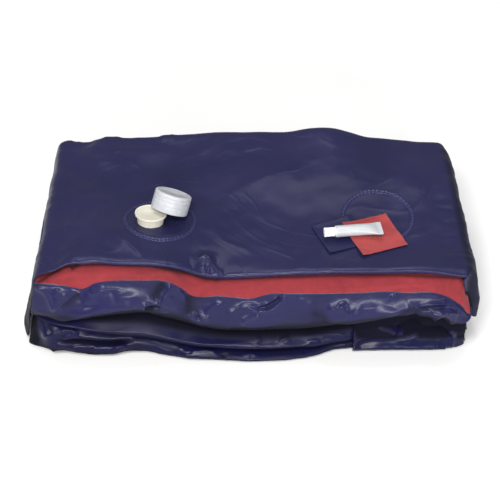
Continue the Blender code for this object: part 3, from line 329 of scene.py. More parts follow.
def shader(name):
    """A material, its nodes, and where a point lies in the piece's own coordinates."""
    made = bpy.data.materials.new(name)
    made.use_nodes = True
    nodes = made.node_tree.nodes
    return made, nodes, nodes.new("ShaderNodeTexCoord").outputs["Object"]


def ramp(nodes, source, stops):
    """Two colours over a value."""
    node = added(nodes, "ShaderNodeValToRGB", {"Fac": source})
    for element, (at, colour) in zip(node.color_ramp.elements, stops):
        element.position = at
        element.color = (*colour, 1.0)
    return node.outputs["Color"]


def grain(nodes, where, scale, detail, roughness=0.5, distortion=0.0, stretch=None):
    """Noise over the piece's own coordinates."""
    if stretch is not None:
        where = added(nodes, "ShaderNodeMapping", {"Scale": stretch, "Vector": where}).outputs["Vector"]
    return added(nodes, "ShaderNodeTexNoise", {
        "Scale": scale, "Detail": detail, "Roughness": roughness, "Distortion": distortion,
        "Vector": where}).outputs["Fac"]


def ranged(nodes, source, low, high, first=0.3, last=0.7, **settings):
    """A value spread over another range."""
    return added(nodes, "ShaderNodeMapRange", {
        "Value": source, "From Min": first, "From Max": last, "To Min": low, "To Max": high},
        **settings).outputs["Result"]


def bumped(nodes, layers):
    """Bump from several layers of (height, distance in metres, strength)."""
    below = {}
    for source, distance, strength in layers:
        node = added(nodes, "ShaderNodeBump",
                     {"Distance": distance, "Strength": strength, "Height": source, **below})
        below = {"Normal": node.outputs["Normal"]}
    return below["Normal"]


def in_folds(nodes, colour, roughness):
    """Colour and roughness of a finish, with painted shade: darker and duller where the sheet lies deep in a
    fold.
    """
    shade = added(nodes, "ShaderNodeAttribute", {}, attribute_name="painted_fold_shade").outputs["Fac"]
    tone = added(nodes, "ShaderNodeMix", {0: shade, 6: colour, 7: (0.16, 0.15, 0.17, 1.0)},
                 data_type="RGBA", blend_type="MULTIPLY")
    dull = added(nodes, "ShaderNodeMix", {0: shade, 2: roughness, 3: 0.85})
    return {"Base Color": tone.outputs[2], "Roughness": dull.outputs[0]}


def veins(nodes, source, width):
    """Thin lines where a noise passes its middle, as sharp creases in a sheet."""
    away = added(nodes, "ShaderNodeMath", {0: source, 1: 0.5}, operation="SUBTRACT").outputs["Value"]
    size = added(nodes, "ShaderNodeMath", {0: away}, operation="ABSOLUTE").outputs["Value"]
    return ranged(nodes, size, 1.0, 0.0, 0.0, width, interpolation_type="SMOOTHSTEP")


def vinyl(name, dark, light, low, high, wave=0.0009, gloss=0.18, film=0.0):
    """Semi-gloss vinyl sheet: slightly uneven colour and gloss, soft ripples and a fine calendered grain."""
    made, nodes, where = shader(name)
    colour = ramp(nodes, grain(nodes, where, 9.0, 3.0, distortion=0.6), ((0.35, dark), (0.65, light)))
    dull = ranged(nodes, grain(nodes, where, 26.0, 4.0), low, high)
    lines = veins(nodes, grain(nodes, where, 7.0, 2.0, distortion=1.6), 0.05)
    relief = bumped(nodes, ((grain(nodes, where, 26.0, 2.0, distortion=0.8), wave, 0.55),
                            (grain(nodes, where, 75.0, 3.0, distortion=0.5), wave / 6, 0.4),
                            (lines, wave, 0.26),
                            (grain(nodes, where, 1500.0, 1.0), 0.00003, 0.35)))
    wired(nodes["Principled BSDF"], {
        "IOR": 1.50, "Specular IOR Level": gloss, "Coat Weight": film, "Coat Roughness": 0.19,
        "Normal": relief, **in_folds(nodes, colour, dull)})
    return made


def flock(name, dark, light):
    """Short flocked pile with brushed patches."""
    made, nodes, where = shader(name)
    brushed = grain(nodes, where, 32.0, 5.0, 0.65, 1.0, (0.7, 1.4, 1.6))
    fibres = grain(nodes, where, 1700.0, 2.0)
    mixed = added(nodes, "ShaderNodeMath", {0: fibres, 1: 0.45, 2: brushed}, operation="MULTIPLY_ADD")
    colour = ramp(nodes, mixed.outputs["Value"], ((0.48, dark), (0.95, light)))
    relief = bumped(nodes, ((fibres, 0.00025, 0.6), (grain(nodes, where, 140.0, 3.0), 0.0004, 0.5)))
    wired(nodes["Principled BSDF"], {
        "Specular IOR Level": 0.20, "Sheen Weight": 0.35, "Sheen Roughness": 0.45,
        "Sheen Tint": (0.95, 0.55, 0.55, 1.0), "Normal": relief,
        **in_folds(nodes, colour, ranged(nodes, brushed, 0.86, 0.96))})
    return made


def plastic(name, dark, light, low, high, clouding=0.15):
    """Moulded plastic: faint flow marks, uneven gloss and fine scuffs."""
    made, nodes, where = shader(name)
    marks = grain(nodes, where, 60.0, 3.0, distortion=0.8)
    wired(nodes["Principled BSDF"], {
        "Base Color": ramp(nodes, marks, ((0.30, dark), (0.70, light))),
        "Roughness": ranged(nodes, grain(nodes, where, 180.0, 4.0, 0.7), low, high),
        "Subsurface Weight": clouding, "Subsurface Radius": (0.004, 0.0035, 0.003), "Subsurface Scale": 1.0,
        "Normal": bumped(nodes, ((grain(nodes, where, 420.0, 3.0), 0.00005, 0.35),))})
    return made


VINYL = vinyl("navy_sheet", (0.0148, 0.0148, 0.053), (0.0186, 0.0181, 0.063), 0.22, 0.34, gloss=0.16,
              film=0.03)
# The side wall, the folds under it and the lap are the same navy vinyl as the sheet, in darker copies of its
# colour: painted shade on the upright front faces and the folds under them
BAND_VINYL = vinyl("navy_side_wall", (0.0085, 0.0085, 0.046), (0.0120, 0.0116, 0.057), 0.27, 0.37,
                   0.0005, 0.16, 0.10)
UNDER_DARK, UNDER_LIGHT = (0.0056, 0.0056, 0.030), (0.0078, 0.0078, 0.038)
ROLL_VINYL = vinyl("navy_under_side", UNDER_DARK, UNDER_LIGHT, 0.17, 0.29, 0.0008, 0.13)
LAP_VINYL = vinyl("navy_lap", UNDER_DARK, UNDER_LIGHT, 0.17, 0.29, 0.0006, 0.12)
# The welds' colour is lighter than the sheet's: a painted highlight on the beads
WELD_VINYL = vinyl("navy_weld", (0.0260, 0.0260, 0.084), (0.0340, 0.0340, 0.100), 0.14, 0.24, 0.0005)
COIL_VINYL = vinyl("coil_sheet", (0.020, 0.021, 0.080), (0.030, 0.030, 0.100), 0.35, 0.50)
RED = flock("red_flocked_side", (0.154, 0.0150, 0.0212), (0.270, 0.032, 0.0390))
RED_PATCH = flock("red_patch_sheet", (0.258, 0.031, 0.033), (0.372, 0.057, 0.059))
PATCH_BLUE = vinyl("blue_patch_sheet", (0.0135, 0.0135, 0.052), (0.0172, 0.0170, 0.063), 0.30, 0.42, 0.0005)
CAP_WHITE = plastic("cap_polythene", (0.41, 0.425, 0.455), (0.47, 0.485, 0.51), 0.32, 0.46, 0.30)
CREAM = plastic("stopper_polythene", (0.60, 0.575, 0.48), (0.65, 0.63, 0.545), 0.34, 0.48, 0.25)
TUBE_WHITE = plastic("tube_laminate", (0.44, 0.465, 0.49), (0.49, 0.51, 0.53), 0.28, 0.40, 0.05)
TUBE_CAP_WHITE = plastic("tube_cap_polythene", (0.83, 0.86, 0.83), (0.89, 0.91, 0.88), 0.30, 0.42, 0.15)
RUBBER = plastic("soft_seal", (0.28, 0.28, 0.28), (0.36, 0.36, 0.36), 0.55, 0.70, 0.0)

# Folds that the camera sees, by pixel: points, height in mm, width in pixels, sharpness, ends, lean
TOP_CREASES = (
    (((118, 237), (127, 243), (136, 251), (143, 258)), 2.4, 1.0, 1.15, 0.3, 2.2),
    (((56, 147), (84, 158), (128, 166)), 3.2, 4.0, 1.5, 0.4),
    (((58, 160), (80, 174), (104, 186)), -2.6, 4.0, 1.7, 0.4),
    (((70, 143), (118, 151), (176, 149)), 2.5, 3.8, 1.6, 0.4),
    (((96, 139), (160, 143), (210, 156)), -1.9, 4.5, 1.8, 0.4),
    (((56, 145), (66, 142), (77, 142)), 3.0, 3.0, 1.5, 0.3),
    (((80, 147), (88, 144), (95, 142)), -2.6, 2.4, 1.5, 0.3),
    (((100, 141), (112, 136), (124, 136)), 2.6, 3.0, 1.5, 0.3),
    (((158, 136), (170, 134), (177, 135)), 2.2, 2.4, 1.5, 0.3),
    (((60, 190), (84, 200), (106, 201), (128, 194)), 1.8, 3.0, 1.5, 0.4),
    (((134, 230), (147, 236), (162, 237.5), (178, 234)), 1.0, 1.5, 1.4, 0.3),
    (((406, 237), (418, 234), (432, 229)), 1.2, 1.4, 1.3, 0.35),
    (((44, 262), (58, 252), (82, 243)), 1.0, 2.0, 1.5, 0.35),
    (((41, 272), (54, 262), (70, 255)), -0.9, 1.8, 1.5, 0.35),
    (((50, 232), (66, 226), (84, 228)), 1.0, 2.4, 1.5, 0.35),
    (((86, 214), (104, 226), (120, 232)), 1.6, 4.0, 1.6, 0.4),
    (((243, 187), (268, 176), (282, 173)), 1.2, 2.4, 1.6, 0.4),
    (((218, 237), (229, 244), (254, 254)), 1.2, 1.6, 1.5, 0.4),
    (((270, 160), (300, 182), (322, 176)), 1.0, 6.0, 1.8, 0.4),
    (((430, 180), (444, 216), (450, 250)), -0.6, 7.0, 1.8, 0.4),
    (((170, 265), (182, 266.5), (193, 268)), 1.0, 1.6, 1.3, 0.3),
    (((193.5, 268), (197, 261.5), (203, 258.5), (208.5, 260), (213, 266.5), (217, 272), (224, 276)),
     2.6, 1.2, 1.2, 0.08),
    (((203.4, 260), (203.8, 267), (205.5, 275)), 1.3, 0.8, 1.2, 0.15),
    (((207.6, 262), (208.8, 268), (208, 274)), 1.5, 1.0, 1.2, 0.15),
    (((205.9, 262), (206.2, 268), (206.6, 273)), -0.9, 0.7, 1.5, 0.2),
    (((184, 261), (190, 264), (195, 270)), -0.7, 2.0, 1.5, 0.3),
    (((213, 259), (219, 266), (224, 272)), -0.8, 2.4, 1.5, 0.3),
)
BAND_CREASES = (
    (((35, 285), (41, 289), (47, 295), (51, 304), (54.5, 311)), 3.0, 1.5, 1.2, 0.12, 2.6),
    (((54, 287), (62, 294), (69, 299)), 1.6, 1.6, 1.3, 0.3, 1.4),
    (((57, 289), (57, 300), (55, 311)), 1.4, 1.2, 1.2, 0.25),
    (((70, 288.5), (76, 291), (81, 293.5)), 1.6, 1.2, 1.2, 0.2),
    (((81, 293), (70, 301), (58, 311)), -2.6, 1.8, 1.3, 0.15, 1.6),
    (((34, 310), (44, 311.5), (54, 312.5)), 1.6, 1.2, 1.3, 0.25),
    (((46, 319), (60, 318), (76, 315), (92, 311.5), (110, 308.5), (128, 306), (140, 306)),
     4.6, 2.0, 1.25, 0.15, 2.4),
    (((60, 312), (80, 308), (102, 303.5)), -1.8, 2.6, 1.5, 0.3),
    (((88, 296), (97, 291), (106, 289)), 1.6, 2.6, 1.5, 0.35),
    (((100, 290.5), (112, 289), (123, 290.5)), 0.9, 1.2, 1.3, 0.3),
    (((112, 298), (126, 296), (140, 297)), 1.0, 3.0, 1.5, 0.35),
    (((171.5, 281), (168.5, 289), (164, 297), (160.5, 305)), 3.8, 1.2, 1.1, 0.06, 2.8),
    (((166, 283), (158, 292), (153, 301)), -2.4, 2.6, 1.5, 0.2),
    (((160.5, 305.5), (153, 303.8), (146, 303.5)), 3.0, 1.1, 1.1, 0.1),
    (((161, 307.5), (152, 307.3), (145.5, 309.8)), -4.2, 1.4, 1.3, 0.1),
    (((146, 303.5), (143.6, 307), (144.5, 311)), 2.4, 1.1, 1.2, 0.2),
    (((150, 310), (160, 309.5), (169, 311)), 1.6, 1.4, 1.3, 0.25),
    (((172, 284), (178, 288), (183, 293), (185, 301)), 2.2, 2.0, 1.4, 0.25),
    (((170, 294), (171, 302), (176, 310)), 1.4, 2.0, 1.4, 0.3),
    (((188, 292), (189.5, 303), (190, 316)), -2.0, 3.4, 1.6, 0.15),
    (((192, 312), (195, 318), (200, 321.8), (206, 322.5)), 2.4, 1.3, 1.2, 0.2),
    (((199, 311), (200.5, 316), (204.5, 318), (211, 316.5)), 2.4, 1.1, 1.2, 0.2),
    (((196.5, 315), (200, 319)), -2.4, 1.3, 1.5, 0.3),
    (((204, 315), (210, 308.5), (217, 304.5), (224, 302)), 2.0, 1.8, 1.4, 0.3),
    (((226, 316), (236, 309), (244, 305.5)), 1.2, 2.4, 1.4, 0.35),
    (((238, 306.5), (247, 306.5), (255, 310.5), (266, 311.5), (276, 306.5), (283, 299.5), (286, 294)),
     3.2, 1.3, 1.15, 0.10, 1.3),
    (((246, 304.5), (258, 306), (268, 303), (275, 298.5), (279.5, 294)), 2.2, 1.1, 1.2, 0.15),
    (((256, 308.5), (266, 307), (277, 301), (282, 295)), -3.0, 1.6, 1.5, 0.15),
    (((261, 314.5), (252, 317.5), (244, 320.5), (241.5, 325)), 2.8, 1.4, 1.2, 0.15),
    (((242, 325.5), (258, 325), (277, 323)), 1.8, 1.6, 1.3, 0.3),
    (((205, 325), (220, 326.5), (236, 326)), 1.6, 2.0, 1.4, 0.35),
    (((326, 311), (338, 308), (348, 303)), 2.2, 2.4, 1.5, 0.3),
    (((338, 303), (344, 309), (351, 316)), 2.6, 3.0, 1.4, 0.3),
    (((331, 320.5), (345, 321.5), (368, 319), (392, 313), (409, 307)), 2.8, 2.4, 1.3, 0.25, 1.8),
    (((306, 312), (322, 317), (334, 321)), -1.6, 3.0, 1.6, 0.35),
    (((392, 294), (395, 297.5)), 1.8, 1.8, 1.4, 0.3),
    (((356, 309), (368, 308), (380, 306)), 1.8, 3.4, 1.6, 0.4),
    (((380, 302), (390, 306), (402, 311)), -0.7, 3.0, 1.5, 0.35),
    (((295, 297), (306, 303), (318, 306)), 1.4, 3.0, 1.6, 0.35),
    (((408, 310), (417, 306.5), (431, 304.3), (447, 303.5)), 3.4, 1.4, 1.15, 0.12, 2.0),
    (((416, 308.5), (432, 308), (450, 306.5)), -3.0, 1.6, 1.4, 0.2),
    (((431, 317.5), (436, 315.5), (441, 312.5), (450, 310.5), (459, 312)), 5.0, 1.8, 1.2, 0.15, 1.5),
    (((446, 311), (450, 315), (453, 319.5)), 2.2, 1.1, 1.2, 0.2),
    (((440, 318.5), (447, 317), (452, 321)), -2.0, 1.4, 1.3, 0.25),
    (((456, 327.5), (462, 324.5), (468, 321.5)), 2.4, 1.2, 1.2, 0.2),
    (((455, 300), (460, 306), (464, 313)), 1.6, 2.0, 1.4, 0.3),
)
# Outlines, by pixel: the facet of the band over the lap, darkened by painted shade, and the hollow under the
# band's right end
FACET = ((376, 328), (386, 321.5), (396, 314.8), (406, 309), (415, 305), (419, 309.5), (425, 317.5),
         (426, 322), (416, 314), (409, 316), (397, 321.5), (387, 325))
HOLLOW = ((374, 327.5), (387, 324), (397, 320.5), (409, 315), (416, 313), (425, 321.8), (432, 323),
          (441.5, 321), (449, 326.2), (452, 330), (450, 337), (430, 339), (405, 338), (392, 333))
ROLL_CREASES = (
    (((45, 326), (90, 333), (140, 341), (200, 344), (270, 344)), 1.4, 2.0, 1.4, 0.2),
    (((278, 342.5), (283, 339.5), (290, 336.5)), 2.2, 1.3, 1.2, 0.3),
    (((296, 337), (320, 334.5), (338, 334), (352, 337)), 1.8, 1.6, 1.3, 0.25),
    (((306, 340), (322, 342)), 1.2, 2.0, 1.4, 0.4),
    (((255, 338), (262, 341)), 1.2, 2.0, 1.4, 0.4),
)
UNDER_CREASES = (
    (((41, 336.5), (50, 334.5), (57, 332.5), (66, 330.3), (73, 330)), 3.0, 1.6, 1.2, 0.15, 1.6),
    (((64.5, 339.5), (69, 334.5), (78, 330.3)), 2.8, 1.5, 1.2, 0.2, 1.5),
    (((58, 337), (66, 334.5), (73, 331.5)), -2.2, 1.4, 1.4, 0.25),
    (((58, 341.0), (66, 342.3), (80, 341.6), (96, 343.2), (112, 343.4), (130, 341)), -7.0, 1.0, 1.7, 0.20),
    (((64, 345.5), (76, 348.5), (90, 351), (112, 350.5), (124, 349)), 3.2, 1.8, 1.2, 0.2, 1.6),
    (((50, 352), (56, 348), (61, 344.5)), 2.2, 1.1, 1.2, 0.25),
    (((112, 347), (121, 345.5), (128, 348)), 2.0, 1.4, 1.3, 0.3),
    (((84, 345.5), (104, 346.5), (130, 344)), 1.6, 1.8, 1.3, 0.3),
    (((188, 352), (204, 351), (214, 352), (217, 357)), 2.2, 1.4, 1.2, 0.25),
    (((150, 350), (172, 354), (200, 357)), 1.8, 2.0, 1.4, 0.35),
    (((240, 355), (252, 354), (262, 357)), 1.6, 2.0, 1.4, 0.4),
    (((222, 353), (224, 360)), -2.2, 1.6, 1.4, 0.3),
)
FLAP_EDGE = ((36, 284), (52, 273.5), (68, 266), (105, 264.5), (150, 265.5), (170, 268.5), (190, 273),
             (205, 278), (215, 279.5), (270, 277.5), (330, 275.5), (400, 275), (462, 278))
LAP_CREASES = (
    (((350, 346), (390, 345.5), (420, 345.3), (437, 345.3), (447, 345)), 4.2, 2.0, 1.35, 0.03),
    (((452.0, 330), (453.2, 337), (450.5, 346)), 3.4, 1.5, 1.2, 0.1),
    (((377, 326.7), (388, 329.5), (398, 332.8)), 2.0, 1.0, 1.2, 0.2),
    (((396, 323), (398, 329), (402.5, 334)), 2.4, 1.3, 1.2, 0.2),
    (((404, 340), (414, 335), (420, 331)), 1.4, 1.6, 1.4, 0.3),
    (((355, 329), (354.5, 338), (355, 348)), 1.2, 1.2, 1.2, 0.2),
)
STRIP_CREASES = (
    (((61, 264), (65, 268), (68, 275)), 2.6, 1.6, 1.3, 0.2),
    (((82, 263), (78.5, 268), (76, 276)), 3.0, 1.3, 1.2, 0.2),
    (((75, 262), (77, 270)), 0.8, 1.8, 1.3, 0.3),
    (((71, 269.5), (74.5, 266), (79, 263)), -1.2, 0.9, 1.6, 0.05),
    (((310, 289.5), (345, 288.5), (400, 286), (430, 283)), 0.5, 0.9, 1.4, 0.2),
    (((140, 264), (150, 272), (160, 279)), 0.8, 3.0, 1.5, 0.3),
    (((232, 281), (240, 290), (243, 296)), 0.6, 2.6, 1.5, 0.3),
    (((436, 277), (442, 286), (446, 296)), 0.8, 2.0, 1.4, 0.3),
)


# Camera, lights and floor

def softbox(name, place, target, size, power, colour):
    """A large soft light at a place, turned to a target."""
    bpy.ops.object.light_add(type="AREA", location=place)
    lamp = bpy.context.object
    lamp.name = name
    lamp.rotation_euler = (Vector(target) - Vector(place)).to_track_quat("-Z", "Y").to_euler()
    lamp.data.shape = "RECTANGLE"
    lamp.data.size, lamp.data.size_y = size
    lamp.data.energy = power
    lamp.data.color = colour


def studio():
    """The camera of the view, a pale floor, and soft studio light."""
    bpy.ops.object.camera_add(location=tuple(EYE + ORIGIN * (1, 1, 0)), rotation=(math.pi / 2 - PITCH, 0, 0))
    camera = bpy.context.object
    camera.data.sensor_width = SENSOR
    camera.data.lens = SENSOR * FOCAL / VIEW
    camera.data.clip_start = 0.05
    bpy.context.scene.camera = camera
    bpy.ops.mesh.primitive_plane_add(size=8.0, location=(0, 0, -0.0002))
    floor = bpy.context.object
    floor.name = "pale_floor"
    made, nodes, where = shader("pale_paper")
    tones = ((0.3, (0.88, 0.88, 0.88)), (0.7, (0.90, 0.90, 0.90)))
    wired(nodes["Principled BSDF"], {"Base Color": ramp(nodes, grain(nodes, where, 3.0, 2.0), tones),
                                     "Roughness": 0.85, "Specular IOR Level": 0.1})
    floor.data.materials.append(made)
    world = bpy.data.worlds.new("white_studio")
    bpy.context.scene.world = world
    world.use_nodes = True
    wired(world.node_tree.nodes["Background"], {"Color": (1.0, 1.0, 1.0, 1.0), "Strength": 0.34})
    softbox("front_box", (-0.35, -1.30, 2.0), (0, 0, 0.05), (0.60, 0.40), 26.0, (1.0, 0.99, 0.97))
    softbox("top_box", (0.20, 0.15, 2.3), (0, 0.1, 0.1), (0.40, 0.20), 7.0, (0.98, 0.99, 1.0))
    softbox("low_box", (0.10, -1.95, 0.85), (0, -0.1, 0.05), (1.20, 0.18), 29.0, (1.0, 1.0, 1.0))
    softbox("left_box", (-1.5, -1.05, 1.25), (-0.15, 0, 0.1), (0.5, 0.6), 11.0, (1.0, 0.98, 0.96))
    softbox("right_box", (1.5, -1.25, 0.95), (0, -0.1, 0.05), (0.5, 0.6), 6.0, (1.0, 0.98, 0.96))
    softbox("back_box", (0.0, 1.0, 2.5), (0, 1.3, 0.0), (2.4, 1.2), 22.0, (1.0, 1.0, 1.0))
    bpy.context.scene.view_settings.view_transform = "Standard"


# Making pieces

def clear_choice():
    """Leaves nothing selected."""
    bpy.ops.object.select_all(action="DESELECT")


def picked(piece):
    """Selects one piece alone and makes it the active one."""
    clear_choice()
    piece.select_set(True)
    bpy.context.view_layer.objects.active = piece


def editing(on):
    """Opens the active piece for editing, or closes it."""
    bpy.ops.object.mode_set(mode="EDIT" if on else "OBJECT")


def coordinates(mesh):
    """A mesh's vertices, one row each."""
    flat = np.empty(len(mesh.vertices) * 3)
    mesh.vertices.foreach_get("co", flat)
    return flat.reshape(-1, 3)


def coated(mesh, finish):
    """Gives a mesh its one material."""
    mesh.materials.clear()
    mesh.materials.append(finish)


def cloth(name, points, finish, closed=None, shade=None):
    """A grid of sheet laid out by its points. A tube comes round to its first row, and a ring both ways.

    The shade is how deep in a fold each point lies, painted into its finish as shade.
    """
    if shade is None:
        shade = np.zeros(points.shape[:2])
    if closed:
        points = np.concatenate((points, points[:, :1]), axis=1)
        shade = np.concatenate((shade, shade[:, :1]), axis=1)
    if closed == "ring":
        points = np.concatenate((points, points[:1]), axis=0)
        shade = np.concatenate((shade, shade[:1]), axis=0)
    n, m = points.shape[:2]
    clear_choice()
    bpy.ops.mesh.primitive_grid_add(x_subdivisions=n - 1, y_subdivisions=m - 1, size=1.0)
    piece = bpy.context.object
    mesh = piece.data
    piece.name = mesh.name = name
    flat = coordinates(mesh)
    i = np.rint((flat[:, 0] + 0.5) * (n - 1)).astype(int)
    j = np.rint((flat[:, 1] + 0.5) * (m - 1)).astype(int)
    mesh.vertices.foreach_set("co", (points[i, j] + ORIGIN).ravel())
    mesh.attributes.new("painted_fold_shade", "FLOAT", "POINT").data.foreach_set("value", shade[i, j])
    mesh.update()
    if closed:
        editing(True)
        bpy.ops.mesh.select_all(action="SELECT")
        bpy.ops.mesh.remove_doubles(threshold=0.000001)
        if closed == "tube":
            bpy.ops.mesh.fill_holes(sides=0)
            bpy.ops.mesh.select_all(action="SELECT")
        bpy.ops.mesh.normals_make_consistent(inside=False)
        editing(False)
    bpy.ops.object.shade_smooth()
    coated(mesh, finish)
    return piece


def applied(piece, kind, **settings):
    """Adds a modifier to a piece and applies it."""
    picked(piece)
    modifier = piece.modifiers.new(kind.lower(), kind)
    for key, value in settings.items():
        setattr(modifier, key, value)
    bpy.ops.object.modifier_apply(modifier=modifier.name)
    return piece


def sheeted(name, points, finish, thickness=SKIN, shade=None):
    """A grid of sheet with its thickness behind it."""
    return applied(cloth(name, points, finish, shade=shade), "SOLIDIFY", thickness=thickness, offset=-1.0)


def joined_rows(x, rows):
    """Stacks rows of (y, z), one for each station, into points, drawn in towards the back."""
    y = np.stack([np.broadcast_to(row[0], x.shape) for row in rows], axis=1)
    z = np.stack([np.broadcast_to(row[1], x.shape) for row in rows], axis=1)
    across = narrowed(np.broadcast_to(x[:, None], y.shape), y)
    return np.stack((across, y, z), axis=2)


# The sheets and folds of the bed

def side_surface(side, start, path, lines, sweeps, leans, drops, s, y):
    """Points of a sheet that turns down at a side: s runs along its path and y is its place in depth."""
    shares = y / HALF_DEPTH
    path = np.array(path, float)
    steps = np.hypot(np.diff(path[:, 0]) * HALF_WIDTH, np.diff(path[:, 1]) * CROWN * 0.9)
    at = np.concatenate(((0.0,), np.cumsum(steps)))
    at = at / at[-1]
    out, down = spline(s, at, path[:, 0]), spline(s, at, path[:, 1])
    sweep, lean, drop = (spline(shares, lines, values) for values in (sweeps, leans, drops))
    top = upper(start, np.clip(y, FRONT_LINE, HALF_DEPTH))
    y_here = y + sweep * down * HALF_DEPTH
    x_here = narrowed(start + side * out * lean * HALF_WIDTH, y_here)
    return np.stack((x_here, y_here, top * (1 - down * drop)), axis=-1)


def side_normals(side, shape, s, y):
    """Outward unit normals of a side surface."""
    step = 0.004
    along = shape(s + step, y) - shape(s - step, y)
    deep = shape(s, y + step * HALF_DEPTH) - shape(s, y - step * HALF_DEPTH)
    n = np.cross(deep, along) * side
    n = n * np.sign(n[..., :1] * side + 0.5 * n[..., 2:])
    return n / np.maximum(np.linalg.norm(n, axis=-1, keepdims=True), 1e-12)


def left_side(s, y):
    """The skin down the left side."""
    return side_surface(-1, HINGE * HALF_WIDTH, WALL_PATH, WALL_LINES, WALL_SWEEP, WALL_LEAN,
                        np.ones(len(WALL_LINES)), s, y)


def right_side(s, y):
    """The flap's end, down the right side."""
    return side_surface(1, FLAP_END * HALF_WIDTH, DRAPE_PATH, DRAPE_LINES, DRAPE_SWEEP, DRAPE_LEAN,
                        DRAPE_DROP, s, y)


def flap_rows(x):
    """The blue skin over the top, from hem to hem: places in depth and heights for each station."""
    share = x / HALF_WIDTH
    depth = 0.0025 + 0.0050 * smooth((share - HINGE) / 0.12) - 0.0015 * smooth((share - 0.86) / 0.08)
    first, last = FRONT_LINE, HALF_DEPTH

    def surface(y, under=0.0):
        return y, upper(x, y) - under
    low_front, low_back = surface(first, depth), surface(last, depth)
    hem = [surface(first + 0.017 * t, depth) for t in (1.0, 0.6, 0.25)] + [low_front]
    front_nose = nose(low_front, surface(first), tip(x, FLAP_FRONT), 11, 0.8)
    near = np.linspace(first, first + 0.060, 50)
    rest = np.linspace(first + 0.060, last, 52)[1:]
    top = [surface(y) for y in np.concatenate((near, rest))]
    back_nose = nose(surface(last), low_back, FLAP_BACK * HALF_DEPTH, 7, 0.8)
    back_hem = [low_back] + [surface(last - 0.027 * t, depth) for t in (0.4, 1.0)]
    return hem + front_nose + top + back_nose + back_hem


def bed_skin():
    """The outer skin in one sheet: up the left side, over the top and down the right side."""
    start, end = HINGE * HALF_WIDTH, FLAP_END * HALF_WIDTH
    across = spaced(start, end, lambda x: np.where((x > -0.165) & (x < -0.012), 0.0011, 0.0028))
    rows = flap_rows(across)
    s = np.linspace(0, 1, 34)[1:]
    parts = []
    for side, place, column, shape in ((-1, start, 0, left_side), (1, end, -1, right_side)):
        y, z = (np.array([np.broadcast_to(row[k], across.shape)[column] for row in rows]) for k in (0, 1))
        under = np.maximum(upper(place, np.clip(y, FRONT_LINE, HALF_DEPTH)) - z, 0)
        grid_s, grid_y = np.meshgrid(s, y, indexing="ij")
        kept = 1 - (0.60 * smooth(s * 4) if side > 0 else 0 * s)
        points = shape(grid_s, grid_y)
        points = points - side_normals(side, shape, grid_s, grid_y) * (kept[:, None] * under)[..., None]
        parts.append(points[::-1] if side < 0 else points)
    points = np.concatenate((parts[0], joined_rows(across, rows), parts[1]))
    x, y, z = axes(points)
    # The left front corner is drawn forward and down, and the foot of the wall in
    corner = smooth((-0.196 - x) / 0.034) * smooth((-0.030 - y) / 0.070)
    high = smooth((z - 0.045) / 0.05)
    y -= 0.006 * corner
    z -= 0.004 * corner * high
    low_corner = smooth((0.060 - z) / 0.055) * smooth((-0.060 - y) / 0.050)
    x += 0.009 * low_corner * smooth((-0.225 - x) / 0.01)
    # Gathers and creases on top, and creases along both sides
    u, v = seen(points)
    facing = smooth((normals(points)[..., 2] + 0.1) / 0.4)
    waves = 0.0013 * noise(x * 14, y * 18, 3)
    waves += 0.0006 * noise(x * 36 + 7, y * 44, 4)
    waves += 0.0009 * crumple(x, y, 0.060, 5)
    waves += creases(u, v, TOP_CREASES)
    waves += bump(u, v, (204.5, 260), (8.0, 4.6), 6.5)
    waves += bump(u, v, (236, 268), (18, 9), 1.8)
    sides = smooth((np.abs(x + 0.01) - 0.222) / 0.012)
    creased = np.maximum(0.0018 * crumple(y + 0.3, z + 0.2, 0.030, 6), -0.0003)
    points = points + normals(points) * (facing * waves + sides * creased)[..., None]
    # The front of the drape hangs lower and curls in
    x, y, z = axes(points)
    drape_front = smooth((x - 0.238) / 0.008) * smooth((-0.045 - y) / 0.045)
    edge = upper(0.236, -0.096)
    hang = smooth((edge - z) / 0.050)
    z -= 0.009 * drape_front * hang
    curl = smooth((-0.090 - y) / 0.014)
    lip = smooth((edge - z) / 0.012)
    x += (0.003 * hang - 0.011 * curl * lip) * drape_front
    # Painted shade on the left wall, and on the drape's front, deeper where it curls in
    shade = 0.80 * smooth((-0.232 - x) / 0.014)
    shade += 0.66 * smooth((x - narrowed(0.240, y)) / 0.009) * (1 + 0.35 * curl)
    piece = sheeted("bed_outer_skin", points, VINYL, shade=shade)
    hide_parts("flap_skin", "left_wall", "flap_drape")
    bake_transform(piece)
    return piece


def flap_lining():
    """The red flocked inner face of the flap, between the hems."""
    x = np.linspace(-0.780 * HALF_WIDTH, FLAP_END * HALF_WIDTH - 0.002, 120)
    y = np.linspace(-0.61 * HALF_DEPTH + 0.0006, 0.765 * HALF_DEPTH - 0.0006, 70)
    grid_x, grid_y = np.meshgrid(x, y, indexing="ij")
    z = upper(grid_x, grid_y) - FLAP_THICKNESS + SKIN + 0.0003 * (noise(grid_x * 30, grid_y * 30, 11) - 1)
    points = np.stack((narrowed(grid_x, grid_y), grid_y, z), axis=2)
    piece = sheeted("flap_inner_flocked_side", points, RED)
    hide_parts("flap_lining")
    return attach(piece, "flap")


def seam_height(x):
    """Height of the seam between the sleeping side and the side wall."""
    return front(x, SEAM) - 0.013 * smooth((x - 0.2365) / 0.011)


def panel_height(x, y):
    """Height of the sleeping side, under the flap."""
    return upper(x, y) - FLAP_THICKNESS - GAP - edge_drop(x)


def strip_row(x, t):
    """Place in depth and heights of the strip of sleeping side, from the seam at 0 to the flap at 1."""
    top = panel_height(x, FRONT_LINE)
    foot = np.minimum(seam_height(x), top)
    swell = 0.010 * CROWN * 4 * t * (1 - t) * np.minimum(1, (top - foot) / 0.02)
    return SEAM_LINE + (FRONT_LINE - SEAM_LINE) * t, foot + (top - foot) * t + swell


